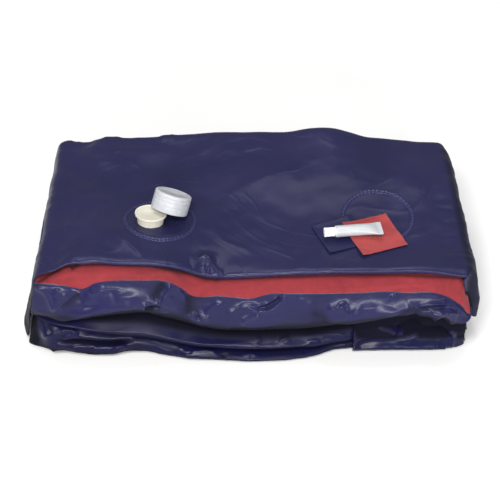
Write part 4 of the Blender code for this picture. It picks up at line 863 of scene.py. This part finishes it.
def red_panel():
    """The red flocked sleeping side, down to the seam where it meets the blue side wall."""
    across = spaced(-0.948 * HALF_WIDTH, 0.992 * HALF_WIDTH, 0.0014)
    rows = [strip_row(across, t) for t in np.linspace(0, 1, 30)]
    rows += [(y, panel_height(across, y)) for y in np.linspace(FRONT_LINE, HALF_DEPTH, 56)[1:]]
    points = joined_rows(across, rows)
    x, y, z = axes(points)
    # Drawn in at the left end, clear of the wall, and under the drape at the right
    x += 0.010 * smooth((-0.22 - x) / 0.017) * smooth((y + 0.80 * HALF_DEPTH) / (0.1 * HALF_DEPTH))
    slant = smooth((x - 0.21) / 0.04) * smooth((y - SEAM_LINE) / (FRONT_LINE - SEAM_LINE))
    x -= 0.0045 * slant
    u, v = seen(points)
    strip = smooth((FRONT_LINE + 0.004 - y) / 0.008)
    pucker = 0.0005 * noise(x * 75, y * 20, 21)
    pucker += 0.0004 * crumple(x, z * 1.4, 0.024, 22)
    pucker += creases(u, v, STRIP_CREASES)
    points = points + normals(points) * (strip * (pucker - 0.0002))[..., None]
    # Painted shade in the notch at the left, and a painted shadow along under the flap's edge
    notch = crease(u, v, ((71.3, 269.5), (74.5, 266), (79, 263)), 1 / MM, 1.3, 2.2, 0.05) * strip
    under_edge_shadow = 0.90 * crease(u, v, FLAP_EDGE, 1 / MM, 1.1, 2.2, 0.0)
    under_edge_shadow += 0.60 * crease(u, v, FLAP_EDGE[4:9], 1 / MM, 2.0, 2.6, 0.3)
    piece = sheeted("flocked_sleeping_side", points, RED, shade=np.clip(notch + under_edge_shadow * strip, 0, 1))
    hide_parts("flocked_panel")
    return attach(piece, "stack")


def fold_stations(left, spacing):
    """Places across a fold, from its left end to the right end that the folds share."""
    return spaced(left * HALF_WIDTH - 0.002, 0.998 * HALF_WIDTH + 0.002, spacing)


def flat_rows(x, shares, back, lift):
    """Rows of a fold's side on the plane between it and its neighbour."""
    return [(y, level(x, y, shares, back) + lift) for y in np.linspace(FRONT_LINE, 0.9 * HALF_DEPTH, 9)]


def wrinkled(points, table, seed, depth, size, calm):
    """Creases by pixel where the camera sees them, and creased noise all over the form's sides.

    Gives the points, and the painted shade for them: on undersides and in the pits of creases.
    """
    n = normals(points)
    x, y, z = axes(points)
    u, v = seen(points)
    camera_side = smooth((-n[..., 1] + 0.25) / 0.35)
    upright = 1 - smooth((np.abs(n[..., 2]) - 0.80) / 0.15)
    folds = crumple(x + 0.35 * y, z * 1.25, size, seed)
    folds += 0.14 * crumple(x, z * 1.4, size * 0.5, seed + 20)
    listed = 1.2 * creases(u, v, table) * camera_side
    relief = listed / (3 * MM) + 0.45 * depth * (folds - 0.1)
    shade = 0.95 * smooth((0.10 - n[..., 2]) / 0.5) + 0.8 * smooth(-listed / (5 * MM) - 0.1)
    shade += 0.60 * smooth(0.40 - relief)
    points = points + n * ((listed + depth * MM * upright * (folds - 0.25)) * calm)[..., None]
    return points, np.clip(shade, 0, 1)


def bulged(foot, head, reach, count, low, full):
    """Rows of (y, z) up a bulging side, evenly spaced. It bulges most at the share low of its height."""
    def bulge(t):
        under = np.sqrt(1 - (1 - np.clip(t / low, 0, 1)) ** 2)
        return np.where(t < low, under, 1 - np.clip((t - low) / (1 - low), 0, 1) ** full)
    t = np.linspace(0, 1, 900)
    base = np.mean(foot[0]) + (np.mean(head[0]) - np.mean(foot[0])) * t
    y = base + (np.mean(reach) - base) * bulge(t)
    z = np.mean(foot[1]) + (np.mean(head[1]) - np.mean(foot[1])) * t
    path = np.concatenate(((0.0,), np.cumsum(np.hypot(np.diff(y), np.diff(z)))))
    rows = []
    for share in np.interp(np.linspace(0, path[-1], count + 2)[1:-1], path, t):
        base = foot[0] + (head[0] - foot[0]) * share
        rows.append((base + (reach - base) * bulge(share), foot[1] + (head[1] - foot[1]) * share))
    return rows


def calmed(*parts):
    """Share of creasing for each row of a form: none where it lies on its neighbour."""
    shares = []
    for count, edge in parts:
        k = np.arange(count)
        shares.append(smooth(np.minimum(k + 1, count - k) / edge) if edge else np.zeros(count))
    return np.concatenate(shares)


def turned_in(x, radius):
    """How far a fold's nose falls back where it rounds its right end."""
    t = np.clip((x - (0.2515 - radius)) / radius, 0, 1)
    return 0.9 * radius * (1 - np.sqrt(np.maximum(1 - t * t, 0)))


def inside(u, v, outline, soft):
    """How far pixels lie inside an outline, from 0 at its edge to 1 at a depth of soft pixels."""
    pts = np.array(outline, float)
    near, crossings = np.full(u.shape, 1e9), np.zeros(u.shape, int)
    for a, b in zip(pts, np.roll(pts, -1, axis=0)):
        d = b - a
        t = np.clip(((u - a[0]) * d[0] + (v - a[1]) * d[1]) / (d @ d), 0, 1)
        near = np.minimum(near, np.hypot(u - a[0] - t * d[0], v - a[1] - t * d[1]))
        spans = (a[1] > v) != (b[1] > v)
        rise = d[1] if d[1] else 1e-9
        crossings += spans & (u < a[0] + (v - a[1]) * d[0] / rise)
    return np.where(crossings % 2 == 1, smooth(near / soft), 0.0)


def hollowed(points, shade):
    """Draws back what the camera sees inside the hollow under the band's right end and paints shade on it,
    and lighter painted shade on the facet above.
    """
    u, v = seen(points)
    y = points[..., 1]
    share = inside(u, v, HOLLOW, 2.5) * smooth((-0.080 - y) / 0.01)
    y += 0.014 * share
    facet = inside(u, v, FACET, 1.2) * smooth((-0.080 - y) / 0.01)
    shade = np.maximum(shade, 0.66 * facet)
    return points, np.maximum(shade, 0.95 * share)


def reach_wall(points, clear):
    """Draws a fold's left end out until it is just inside the wall."""
    s = np.linspace(0, 1, 40)
    line = left_side(s, np.full(s.shape, -0.80 * HALF_DEPTH))
    order = np.argsort(line[:, 2])
    moved = points.copy()
    x, y, z = axes(moved)
    wall = np.interp(z, line[order, 2], line[order, 0]) + SKIN + clear
    end = points[0, :, 0].mean()
    share = smooth((end + 0.030 - x) / 0.030)
    front_half = smooth((0.2 * HALF_DEPTH - y) / (0.4 * HALF_DEPTH))
    x += share * front_half * np.minimum(wall - end, 0)
    return moved


def folded_form(across, low, high, reach, front_shape, back_reach, back_shape, ease):
    """Rings of a fold from its foot up the front, over the top and down the back, and each row's creasing.

    The front is shaped by its count of rows, where it bulges most and how full it is, and the back by its
    count and its squareness. The creasing eases in over some rows from the flat sides.
    """
    front_rows = bulged(low[0], high[0], reach, *front_shape)
    back = nose(low[-1], high[-1], back_reach, *back_shape)
    points = joined_rows(across, low[::-1] + front_rows + high + back[::-1])
    return points, calmed((len(low), 0), (len(front_rows), ease), (len(high), 0), (len(back), 4))


def hung(points, across, amount):
    """Lets the band's lower edge hang over the roll, by an amount for each station."""
    y, z = axes(points)[1:]
    lift = (z - front(across, BAND_FOOT)[:, None]) / 0.030
    z -= amount[:, None] * smooth((-0.100 - y) / 0.012) * smooth(1 - lift)


def band():
    """The top fold, whose blue side wall is the creased band along the front."""
    across = fold_stations(-0.928, 0.0012)
    under = SKIN + GAP
    settled = 0.0045 * smooth((across - 0.220) / 0.018)
    low = flat_rows(across, BAND_FOOT, BAND_BACK, GAP / 2)
    top = [(y, panel_height(across, y) - under - 0.0006 - settled)
           for y in np.linspace(FRONT_LINE, HALF_DEPTH, 13)]
    strip = []
    for t in np.linspace(0, 1, 7)[:-1]:
        y, z = strip_row(across, t)
        strip.append((y, z - under - 0.0006 * t - settled * t))
    reach = tip(across, BAND_TIP) + turned_in(across, 0.016)
    points, calm = folded_form(across, low, strip + top[1:], reach, (68, 0.40, 1.6),
                               BAND_BACK_TIP * HALF_DEPTH, (26, 0.3), 6)
    points = reach_wall(points, 0.0012)
    # It hangs over the roll in the left two thirds, and its lower corner droops at the right
    sag = smooth((across + 0.256) / 0.016) * (1 - smooth((across - 0.060) / 0.080))
    hung(points, across, 0.0085 * sag)
    points, shade = wrinkled(points, BAND_CREASES, 31, 0.5, 0.042, calm)
    points, shade = hollowed(points, shade)
    hung(points, across, 0.009 * np.exp(-((across - 0.232) / 0.013) ** 2))
    x, y, z = axes(points)
    # Painted shade in the gap over the seam's right end
    gap = smooth((x - 0.234) / 0.004) * smooth((z - seam_height(across)[:, None] - 0.001) / 0.002)
    piece = cloth("creased_side_wall", points, BAND_VINYL, "tube", np.maximum(shade, gap))
    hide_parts("side_band_fold")
    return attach(piece, "stack")


def roll():
    """The rolled fold between the lowest fold and the creased band."""
    across = fold_stations(-0.962, 0.0015)
    low = flat_rows(across, ROLL_FOOT, ROLL_BACK, GAP / 2)
    high = flat_rows(across, BAND_FOOT, BAND_BACK, -GAP / 2)
    set_back = 0.008 * smooth((across - 0.105) / 0.03)
    reach = tip(across, ROLL_TIP) + turned_in(across, 0.018) + set_back
    points, calm = folded_form(across, low, high, reach, (46, 0.30, 1.15),
                               ROLL_BACK_TIP * HALF_DEPTH, (16, 0.6), 5)
    # Its upper part gets painted shade in the recess under the band
    foot, head = front(across, ROLL_FOOT)[:, None], front(across, BAND_FOOT)[:, None]
    recess = smooth(((points[..., 2] - foot) / (head - foot) - 0.40) / 0.22)
    points, shade = wrinkled(points, ROLL_CREASES, 41, 0.5, 0.045, calm)
    points, shade = hollowed(points, np.maximum(shade, recess))
    piece = cloth("rolled_middle_fold", points, ROLL_VINYL, "tube", shade)
    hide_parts("middle_roll")
    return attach(piece, "stack")


def lowest_fold():
    """The lowest fold, flat on the floor."""
    across = fold_stations(-0.962, 0.0018)
    inset = 0.08 * HALF_DEPTH
    y_front, y_back = tip(across, UNDER_TIP), tip(across, UNDER_BACK)
    first = np.maximum(FRONT_LINE, y_front + inset)
    last = np.minimum(0.90 * HALF_DEPTH, y_back - inset)
    places = [first + (last - first) * t for t in np.linspace(0, 1, 9)]
    low = [(y, np.zeros(across.shape)) for y in places]
    high = [(y, level(across, y, ROLL_FOOT, ROLL_BACK) - GAP / 2) for y in places]
    points, calm = folded_form(across, low, high, y_front + turned_in(across, 0.018), (60, 0.30, 2.6),
                               y_back, (14, 0.6), 4)
    # The left end splays out at the floor
    x, y, z = axes(points)
    reach = smooth((-0.90 * HALF_WIDTH - x) / (0.065 * HALF_WIDTH))
    reach *= smooth((y + 0.90 * HALF_DEPTH) / (0.14 * HALF_DEPTH))
    x -= reach * SPLAY * HALF_WIDTH * np.clip(1 - z / (0.4 * CROWN), 0, 1)
    # Painted shade close under the roll and in the pocket at the left end
    share = z / front(across, ROLL_FOOT)[:, None]
    recess = np.maximum(smooth((share - 0.90) / 0.10), smooth((-0.2405 - x) / 0.003))
    points, shade = wrinkled(points, UNDER_CREASES, 51, 1.0, 0.036, calm)
    points[..., 2] = np.maximum(points[..., 2], 0.0)
    piece = cloth("lowest_fold", points, ROLL_VINYL, "tube", np.maximum(shade, recess))
    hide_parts("underside_fold")
    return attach(piece, "stack")


def nearest_front(trees, x, z, head):
    """Place in depth of what stands nearest to the camera's side about a point, in the bed's own metres."""
    near = 1.0
    for dx in (-0.003, 0.0, 0.003):
        for dz in (-0.004, -0.002, 0.0, 0.002, 0.004):
            eye = Vector((x + dx + ORIGIN[0], -0.4, min(max(z + dz, GAP), head)))
            for tree in trees:
                hit = tree.ray_cast(eye, Vector((0, 1, 0)))[0]
                if hit is not None:
                    near = min(near, hit.y - ORIGIN[1])
    return near


def lap_sheet(behind):
    """The loose sheet lapped round the lower right front."""
    trees = [tree_of(piece) for piece in behind]
    across = np.linspace(0.472 * HALF_WIDTH, 0.990 * HALF_WIDTH, 104)
    foot, count = 0.012 * CROWN, 44
    grid = np.zeros((len(across), count, 3))
    for i, x in enumerate(across):
        head = front(np.array(x), BAND_FOOT) - 0.040 * CROWN
        for j in range(count):
            z = foot + (head - foot) * j / (count - 1)
            grid[i, j] = (x, min(nearest_front(trees, x, z, head), 0.0) - SKIN, z)
    # Drawn smooth over the hollows of what it lies on, and never behind it
    soft = grid.copy()
    for _ in range(8):
        soft[1:-1, 1:-1, 1] = averaged(soft[..., 1])
        soft[..., 1] = np.minimum(soft[..., 1], grid[..., 1])
    u, v = seen(soft)
    listed = creases(u, v, LAP_CREASES)
    x, y, z = axes(soft)
    y -= 1.3 * np.maximum(listed, 0) + 0.0004 * (1 + crumple(x, z, 0.026, 61))
    # Painted shade, deeper up the sheet towards the hollow under the band, and taken off along its raised
    # creases
    shade = np.clip(0.92 * smooth((343 - v) / 8) - 0.8 * smooth(listed / MM - 0.4), 0, 1)
    piece = sheeted("lower_right_lap", soft, LAP_VINYL, 0.0006, shade)
    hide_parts("right_lap_sheet")
    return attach(piece, "stack")


def weld(name, centre, skin_tree):
    """A coil's end weld: two beads with a ribbed band between them, on the skin."""
    count, ribs = 288, 54
    outer, width, face, foot = 0.0425, 0.0050, 0.00018, 0.00004
    profile = []
    for t in np.linspace(0, 1, 22):
        beads = 0.0012 * (np.exp(-((t - 0.16) / 0.10) ** 2) + np.exp(-((t - 0.84) / 0.10) ** 2))
        profile.append((outer - width * t, beads, math.exp(-((t - 0.5) / 0.25) ** 2)))
    points = np.zeros((count, 2 * len(profile), 3))
    for k in range(count):
        angle = 2 * math.pi * k / count
        rib = math.cos(ribs * angle)
        wobble = 0.0003 * math.sin(3 * angle + 1.0) + 0.0002 * math.sin(7 * angle)
        for j, (radius, bead, middle) in enumerate(profile):
            radius += wobble
            x = centre[0] * HALF_WIDTH + radius * math.cos(angle)
            y = centre[1] * HALF_DEPTH + radius * math.sin(angle)
            z = height_on(skin_tree, x + ORIGIN[0], y + ORIGIN[1], -1.0)
            points[k, j] = (x, y, z + face + bead * (1 + 0.45 * rib) + 0.00022 * rib * middle)
            points[k, -1 - j] = (x, y, z + foot)
    return cloth(name, points, WELD_VINYL, closed="ring")


# Moulded pieces, modelled about Z and then put where their solids are

def chosen(piece, test):
    """Selects the faces whose middle and normal pass a test, and opens the piece for editing."""
    picked(piece)
    editing(True)
    bpy.ops.mesh.select_mode(type="FACE")
    bpy.ops.mesh.select_all(action="DESELECT")
    editing(False)
    for face in piece.data.polygons:
        face.select = test(face.center, face.normal)
    editing(True)


def round_block(name, radius, low, high, sides):
    """A short cylinder to start a turned piece from."""
    clear_choice()
    bpy.ops.mesh.primitive_cylinder_add(vertices=sides, radius=radius, depth=high - low,
                                        location=(0, 0, (low + high) / 2))
    piece = bpy.context.object
    piece.name = piece.data.name = name
    bpy.ops.object.transform_apply(location=True)
    return piece


def top_at(height):
    """Test for upward faces at a height."""
    return lambda centre, normal: normal.z > 0.9 and abs(centre.z - height) < 0.00005


def foot_at(height):
    """Test for downward faces at a height."""
    return lambda centre, normal: normal.z < -0.9 and abs(centre.z - height) < 0.00005


def raised(along):
    """Draws the chosen faces out along Z."""
    bpy.ops.mesh.extrude_region_move(TRANSFORM_OT_translate={"value": (0, 0, along)})


def widened(share):
    """Makes the chosen faces wider or narrower about the axis."""
    bpy.ops.transform.resize(value=(share, share, 1.0), center_override=(0, 0, 0))


def stepped(steps):
    """Insets and moves the chosen end face, step by step: (inward, along Z)."""
    for inward, along in steps:
        if inward:
            bpy.ops.mesh.inset(thickness=inward, depth=0)
        if along:
            raised(along)
    editing(False)


def edged(piece, angle, width, segments, finish):
    """Rounds the sharp edges, smooths the rest and gives the material."""
    applied(piece, "BEVEL", limit_method="ANGLE", angle_limit=math.radians(angle), width=width,
            segments=segments)
    picked(piece)
    bpy.ops.object.shade_smooth_by_angle(angle=math.radians(40))
    coated(piece.data, finish)


def turned_frame(node, rough):
    """Axis of a turned CAD node, near a rough direction, and the middle of its lower end."""
    points = np.unique(np.round(coordinates(NODES[node].data), 6), axis=0)
    middle = points.mean(0)
    values, vectors = np.linalg.eigh(np.cov((points - middle).T))
    pick = max(range(3), key=lambda k: min(abs(values[k] - values[m]) for m in range(3) if m != k))
    axis = vectors[:, pick] * math.copysign(1, vectors[:, pick] @ np.array(rough))
    return axis, middle + axis * ((points - middle) @ axis).min()


def put(piece, axis, origin):
    """Turns a piece's Z to an axis, moves it to an origin, and applies the place to its mesh."""
    turn = Vector((0, 0, 1)).rotation_difference(Vector(axis)).to_matrix().to_4x4()
    turn.translation = Vector(origin)
    piece.data.transform(turn)
    piece.data.update()


def screw_cap():
    """The white screw cap: chamfered top with a shallow dish, three faint bands, hollow inside."""
    radius, height, inside = 0.0214, 0.0215, 0.0193
    start, chamfer, lid = 0.0060, 0.0016, 0.0024
    cap = round_block("screw_cap", radius, 0.0, start, 128)
    chosen(cap, top_at(start))
    raised(0.0007)
    faint_band = ((0.0003, 0.990), (0.0005, 1.0), (0.0003, 1.0101))
    plain = (0.0038, 1.0)
    for lift, share in (*faint_band, plain, *faint_band, plain, *faint_band):
        raised(lift)
        if share != 1.0:
            widened(share)
    editing(False)
    top = max(v.co.z for v in cap.data.vertices)
    chosen(cap, top_at(top))
    stepped(((0, height - top - chamfer), (0, chamfer / 2)))
    chosen(cap, top_at(height - chamfer / 2))
    widened(0.985)
    raised(chamfer / 2)
    widened(0.950)
    stepped(((0.0016, 0), (0.0006, -0.0006), (0.0140, -0.0002)))
    chosen(cap, foot_at(0.0))
    stepped(((radius - inside, 0), (0, height - lid)))
    edged(cap, 28, 0.00025, 2, CAP_WHITE)
    put(cap, *turned_frame("valve_cap", (0.2, 0.35, 0.9)))
    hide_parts("valve_cap")
    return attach(cap, "cap")


def stopper():
    """The cream stopper: a dished flange over a slightly tapered hollow body."""
    flange, body, wall = 0.0180, 0.0155, 0.0022
    height, hollow, brim = 0.0095, 0.0086, 0.0022
    plug = round_block("stopper", body, 0.0, height, 112)
    chosen(plug, foot_at(0.0))
    widened(0.965)
    stepped(((wall, 0), (0, hollow)))
    chosen(plug, top_at(height))
    raised(0.00001)
    widened(flange / body)
    stepped(((0, brim), (0.0008, 0), (0.0009, -0.0006), (0.0110, -0.0002)))
    edged(plug, 28, 0.00035, 3, CREAM)
    put(plug, *turned_frame("valve_stopper", (0, 0, 1)))
    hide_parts("valve_stopper")
    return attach(plug, "stopper")


def tube_place(piece):
    """Puts a piece made along +X from the tube's shoulder onto the patches."""
    x = -TUBE_AXIS / np.linalg.norm(TUBE_AXIS)
    y = np.cross((0, 0, 1), x)
    y /= np.linalg.norm(y)
    place = np.eye(4)
    place[:3] = np.column_stack((x, y, np.cross(x, y), TUBE_ORIGIN))
    piece.data.transform(Matrix(place.tolist()))
    piece.data.update()


def tube_body():
    """The glue tube, round at its shoulder and drawn out flat to a ribbed crimp."""
    clear_choice()
    bpy.ops.mesh.primitive_cylinder_add(vertices=72, radius=1.0, depth=1.0, end_fill_type="TRIFAN")
    piece = bpy.context.object
    mesh = piece.data
    piece.name = mesh.name = "glue_tube"
    editing(True)
    bpy.ops.mesh.select_all(action="DESELECT")
    editing(False)
    for edge in mesh.edges:
        a, b = (mesh.vertices[k].co for k in edge.vertices)
        edge.select = abs(a.z - b.z) > 0.9
    editing(True)
    bpy.ops.mesh.subdivide_edgering(number_cuts=90, interpolation="LINEAR")
    editing(False)
    # From a round shoulder, half a girth wide and flat at the crimp
    flat = coordinates(mesh)
    length, crimp = 0.0530, 0.0050
    radius, flat_end = 0.00675, 0.00055
    wide_end = math.pi * radius / 2
    x = (flat[:, 2] + 0.5) * length
    ease = np.clip(x / (length - crimp), 0, 1) ** 4
    wide = radius + (wide_end - radius) * ease
    tall = radius + (flat_end - radius) * ease
    angle = np.arctan2(flat[:, 1], flat[:, 0])
    reach = np.hypot(flat[:, 0], flat[:, 1])
    square = 1.0 - 0.45 * ease
    c, s = np.cos(angle), np.sin(angle)
    ribs = np.where(x > length - crimp + 0.0004, 0.00012 * np.sin((x - length) / 0.0009 * 2 * math.pi), 0)
    along = np.clip(x / length, 0, 1)
    dent = 0.00035 * np.sin(x / 0.013 + 1.2 * np.sin(angle * 2)) * np.sin(math.pi * along)
    lip = 1 - 0.05 * smooth((0.0012 - x) / 0.0012)
    y = wide * lip * reach * np.sign(c) * np.abs(c) ** square
    z = (tall * lip + ribs - np.abs(dent)) * reach * np.sign(s) * np.abs(s) ** square
    mesh.vertices.foreach_set("co", np.stack((x, y, z), axis=1).ravel())
    mesh.update()
    bpy.ops.object.shade_smooth_by_angle(angle=math.radians(50))
    coated(mesh, TUBE_WHITE)
    tube_place(piece)
    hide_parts("glue_tube_body")
    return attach(piece, "glue_tube")


def on_a_rib(centre, normal):
    """Test for every second side face of the tube's cap, where its grip ribs stand."""
    return abs(normal.z) < 0.1 and round(math.atan2(centre.y, centre.x) / math.radians(5) - 0.5) % 2 == 0


def tube_cap():
    """The tube's small cap with its fine grip ribs."""
    radius, length, inside = 0.00515 - 0.0003, 0.0120, 0.0034
    cap = round_block("ribbed_tube_cap", radius, 0.0, length, 72)
    chosen(cap, on_a_rib)
    bpy.ops.mesh.inset(thickness=0.00006, depth=0, use_individual=True)
    bpy.ops.mesh.inset(thickness=0.00004, depth=0.0003, use_individual=True)
    editing(False)
    chosen(cap, foot_at(0.0))
    stepped(((radius - inside, 0), (0, 0.0099)))
    chosen(cap, top_at(length))
    stepped(((0.0008, 0),))
    edged(cap, 50, 0.00018, 2, TUBE_CAP_WHITE)
    axis = TUBE_AXIS / np.linalg.norm(TUBE_AXIS)
    put(cap, axis, TUBE_ORIGIN + axis * (0.0014 + GAP))
    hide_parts("glue_tube_cap")
    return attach(cap, "tube_cap")


def patch(name, node, finish, curl):
    """A square of repair sheet on what carries it, with its corners lifting a little."""
    points = coordinates(NODES[node].data)
    top = tree_of(NODES[node])
    lowest = points[:, 2].min()
    left, near = points[np.argmin(points[:, 0])], points[np.argmin(points[:, 1])]
    right, far = points[np.argmax(points[:, 0])], points[np.argmax(points[:, 1])]
    middle = (left + right) / 2
    count = 56
    steps = np.linspace(0, 1, count)
    grid = np.zeros((count, count, 3))
    for i, s in enumerate(steps):
        for j, t in enumerate(steps):
            flat = (1 - s) * ((1 - t) * left + t * far) + s * ((1 - t) * near + t * right)
            # Probed just inside the edge
            probe = middle + (flat - middle) * 0.985
            grid[i, j] = (flat[0], flat[1], height_on(top, probe[0], probe[1], lowest))
    heights = grid[..., 2].copy()
    for _ in range(12):
        heights = averaged(np.pad(heights, 1, mode="edge"))
    grid[..., 2] = np.maximum(heights, grid[..., 2]) + curl(*np.meshgrid(steps, steps, indexing="ij"))
    if np.cross(grid[1, 0] - grid[0, 0], grid[0, 1] - grid[0, 0])[2] <= 0:
        grid = grid.transpose(1, 0, 2)
    piece = sheeted(name, grid - ORIGIN, finish, 0.0005)
    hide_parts(node)
    return piece


def wavy_front(s, t):
    """Lift of the red patch: one corner curls and the two front edges ripple."""
    edge = 1 - smooth(np.minimum(s, t) / 0.12)
    return 0.0022 * (1 - smooth(np.hypot(s, t) / 0.25)) + 0.0007 * edge * (1 + np.sin(9 * (s - t)))


def valve():
    """Finishes the valve at the back and the soft and hidden pieces that are shown as their solids."""
    for node, finish in (("valve_neck", PATCH_BLUE), ("valve_check_disc", RUBBER),
                         ("valve_cap_seal", RUBBER), ("glue_cap_liner", RUBBER),
                         ("glue_tube_nozzle", TUBE_CAP_WHITE), ("left_air_coil", COIL_VINYL),
                         ("right_air_coil", COIL_VINYL)):
        coated(NODES[node].data, finish)


def pocket_for_valve(piece):
    """Opens the band's back where the valve passes in."""
    valve_x, face_y, valve_z = -0.14721, 0.125044, 0.083752
    length, inward = 0.040, 0.0127
    clear_choice()
    bpy.ops.mesh.primitive_cylinder_add(vertices=64, radius=0.0187, depth=length,
                                        location=(valve_x, face_y + length / 2 - inward, valve_z),
                                        rotation=(math.radians(90), 0, 0))
    cutter = bpy.context.object
    applied(piece, "BOOLEAN", object=cutter, operation="DIFFERENCE", solver="EXACT")
    bpy.data.objects.remove(cutter)


def main():
    """Makes every piece."""
    studio()
    skin_tree = tree_of(bed_skin())
    flap_lining()
    red_panel()
    pocket_for_valve(band())
    middle = roll()
    lowest = lowest_fold()
    lap_sheet([middle, lowest])
    for name, node, centre in (("left_ring_weld", "left_coil_weld", LEFT_WELD),
                               ("right_ring_weld", "right_coil_weld", RIGHT_WELD)):
        piece = weld(name, centre, skin_tree)
        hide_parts(node)
        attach(piece, "flap")
    screw_cap()
    stopper()
    tube_body()
    tube_cap()
    blue = patch("blue_repair_patch", "repair_patch_blue", PATCH_BLUE,
                 lambda s, t: 0.0006 * (1 - smooth(np.minimum(s, t) / 0.15)))
    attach(blue, "blue_patch")
    red = patch("red_repair_patch", "repair_patch_red", RED_PATCH,
                wavy_front)
    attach(red, "red_patch")
    valve()


main()
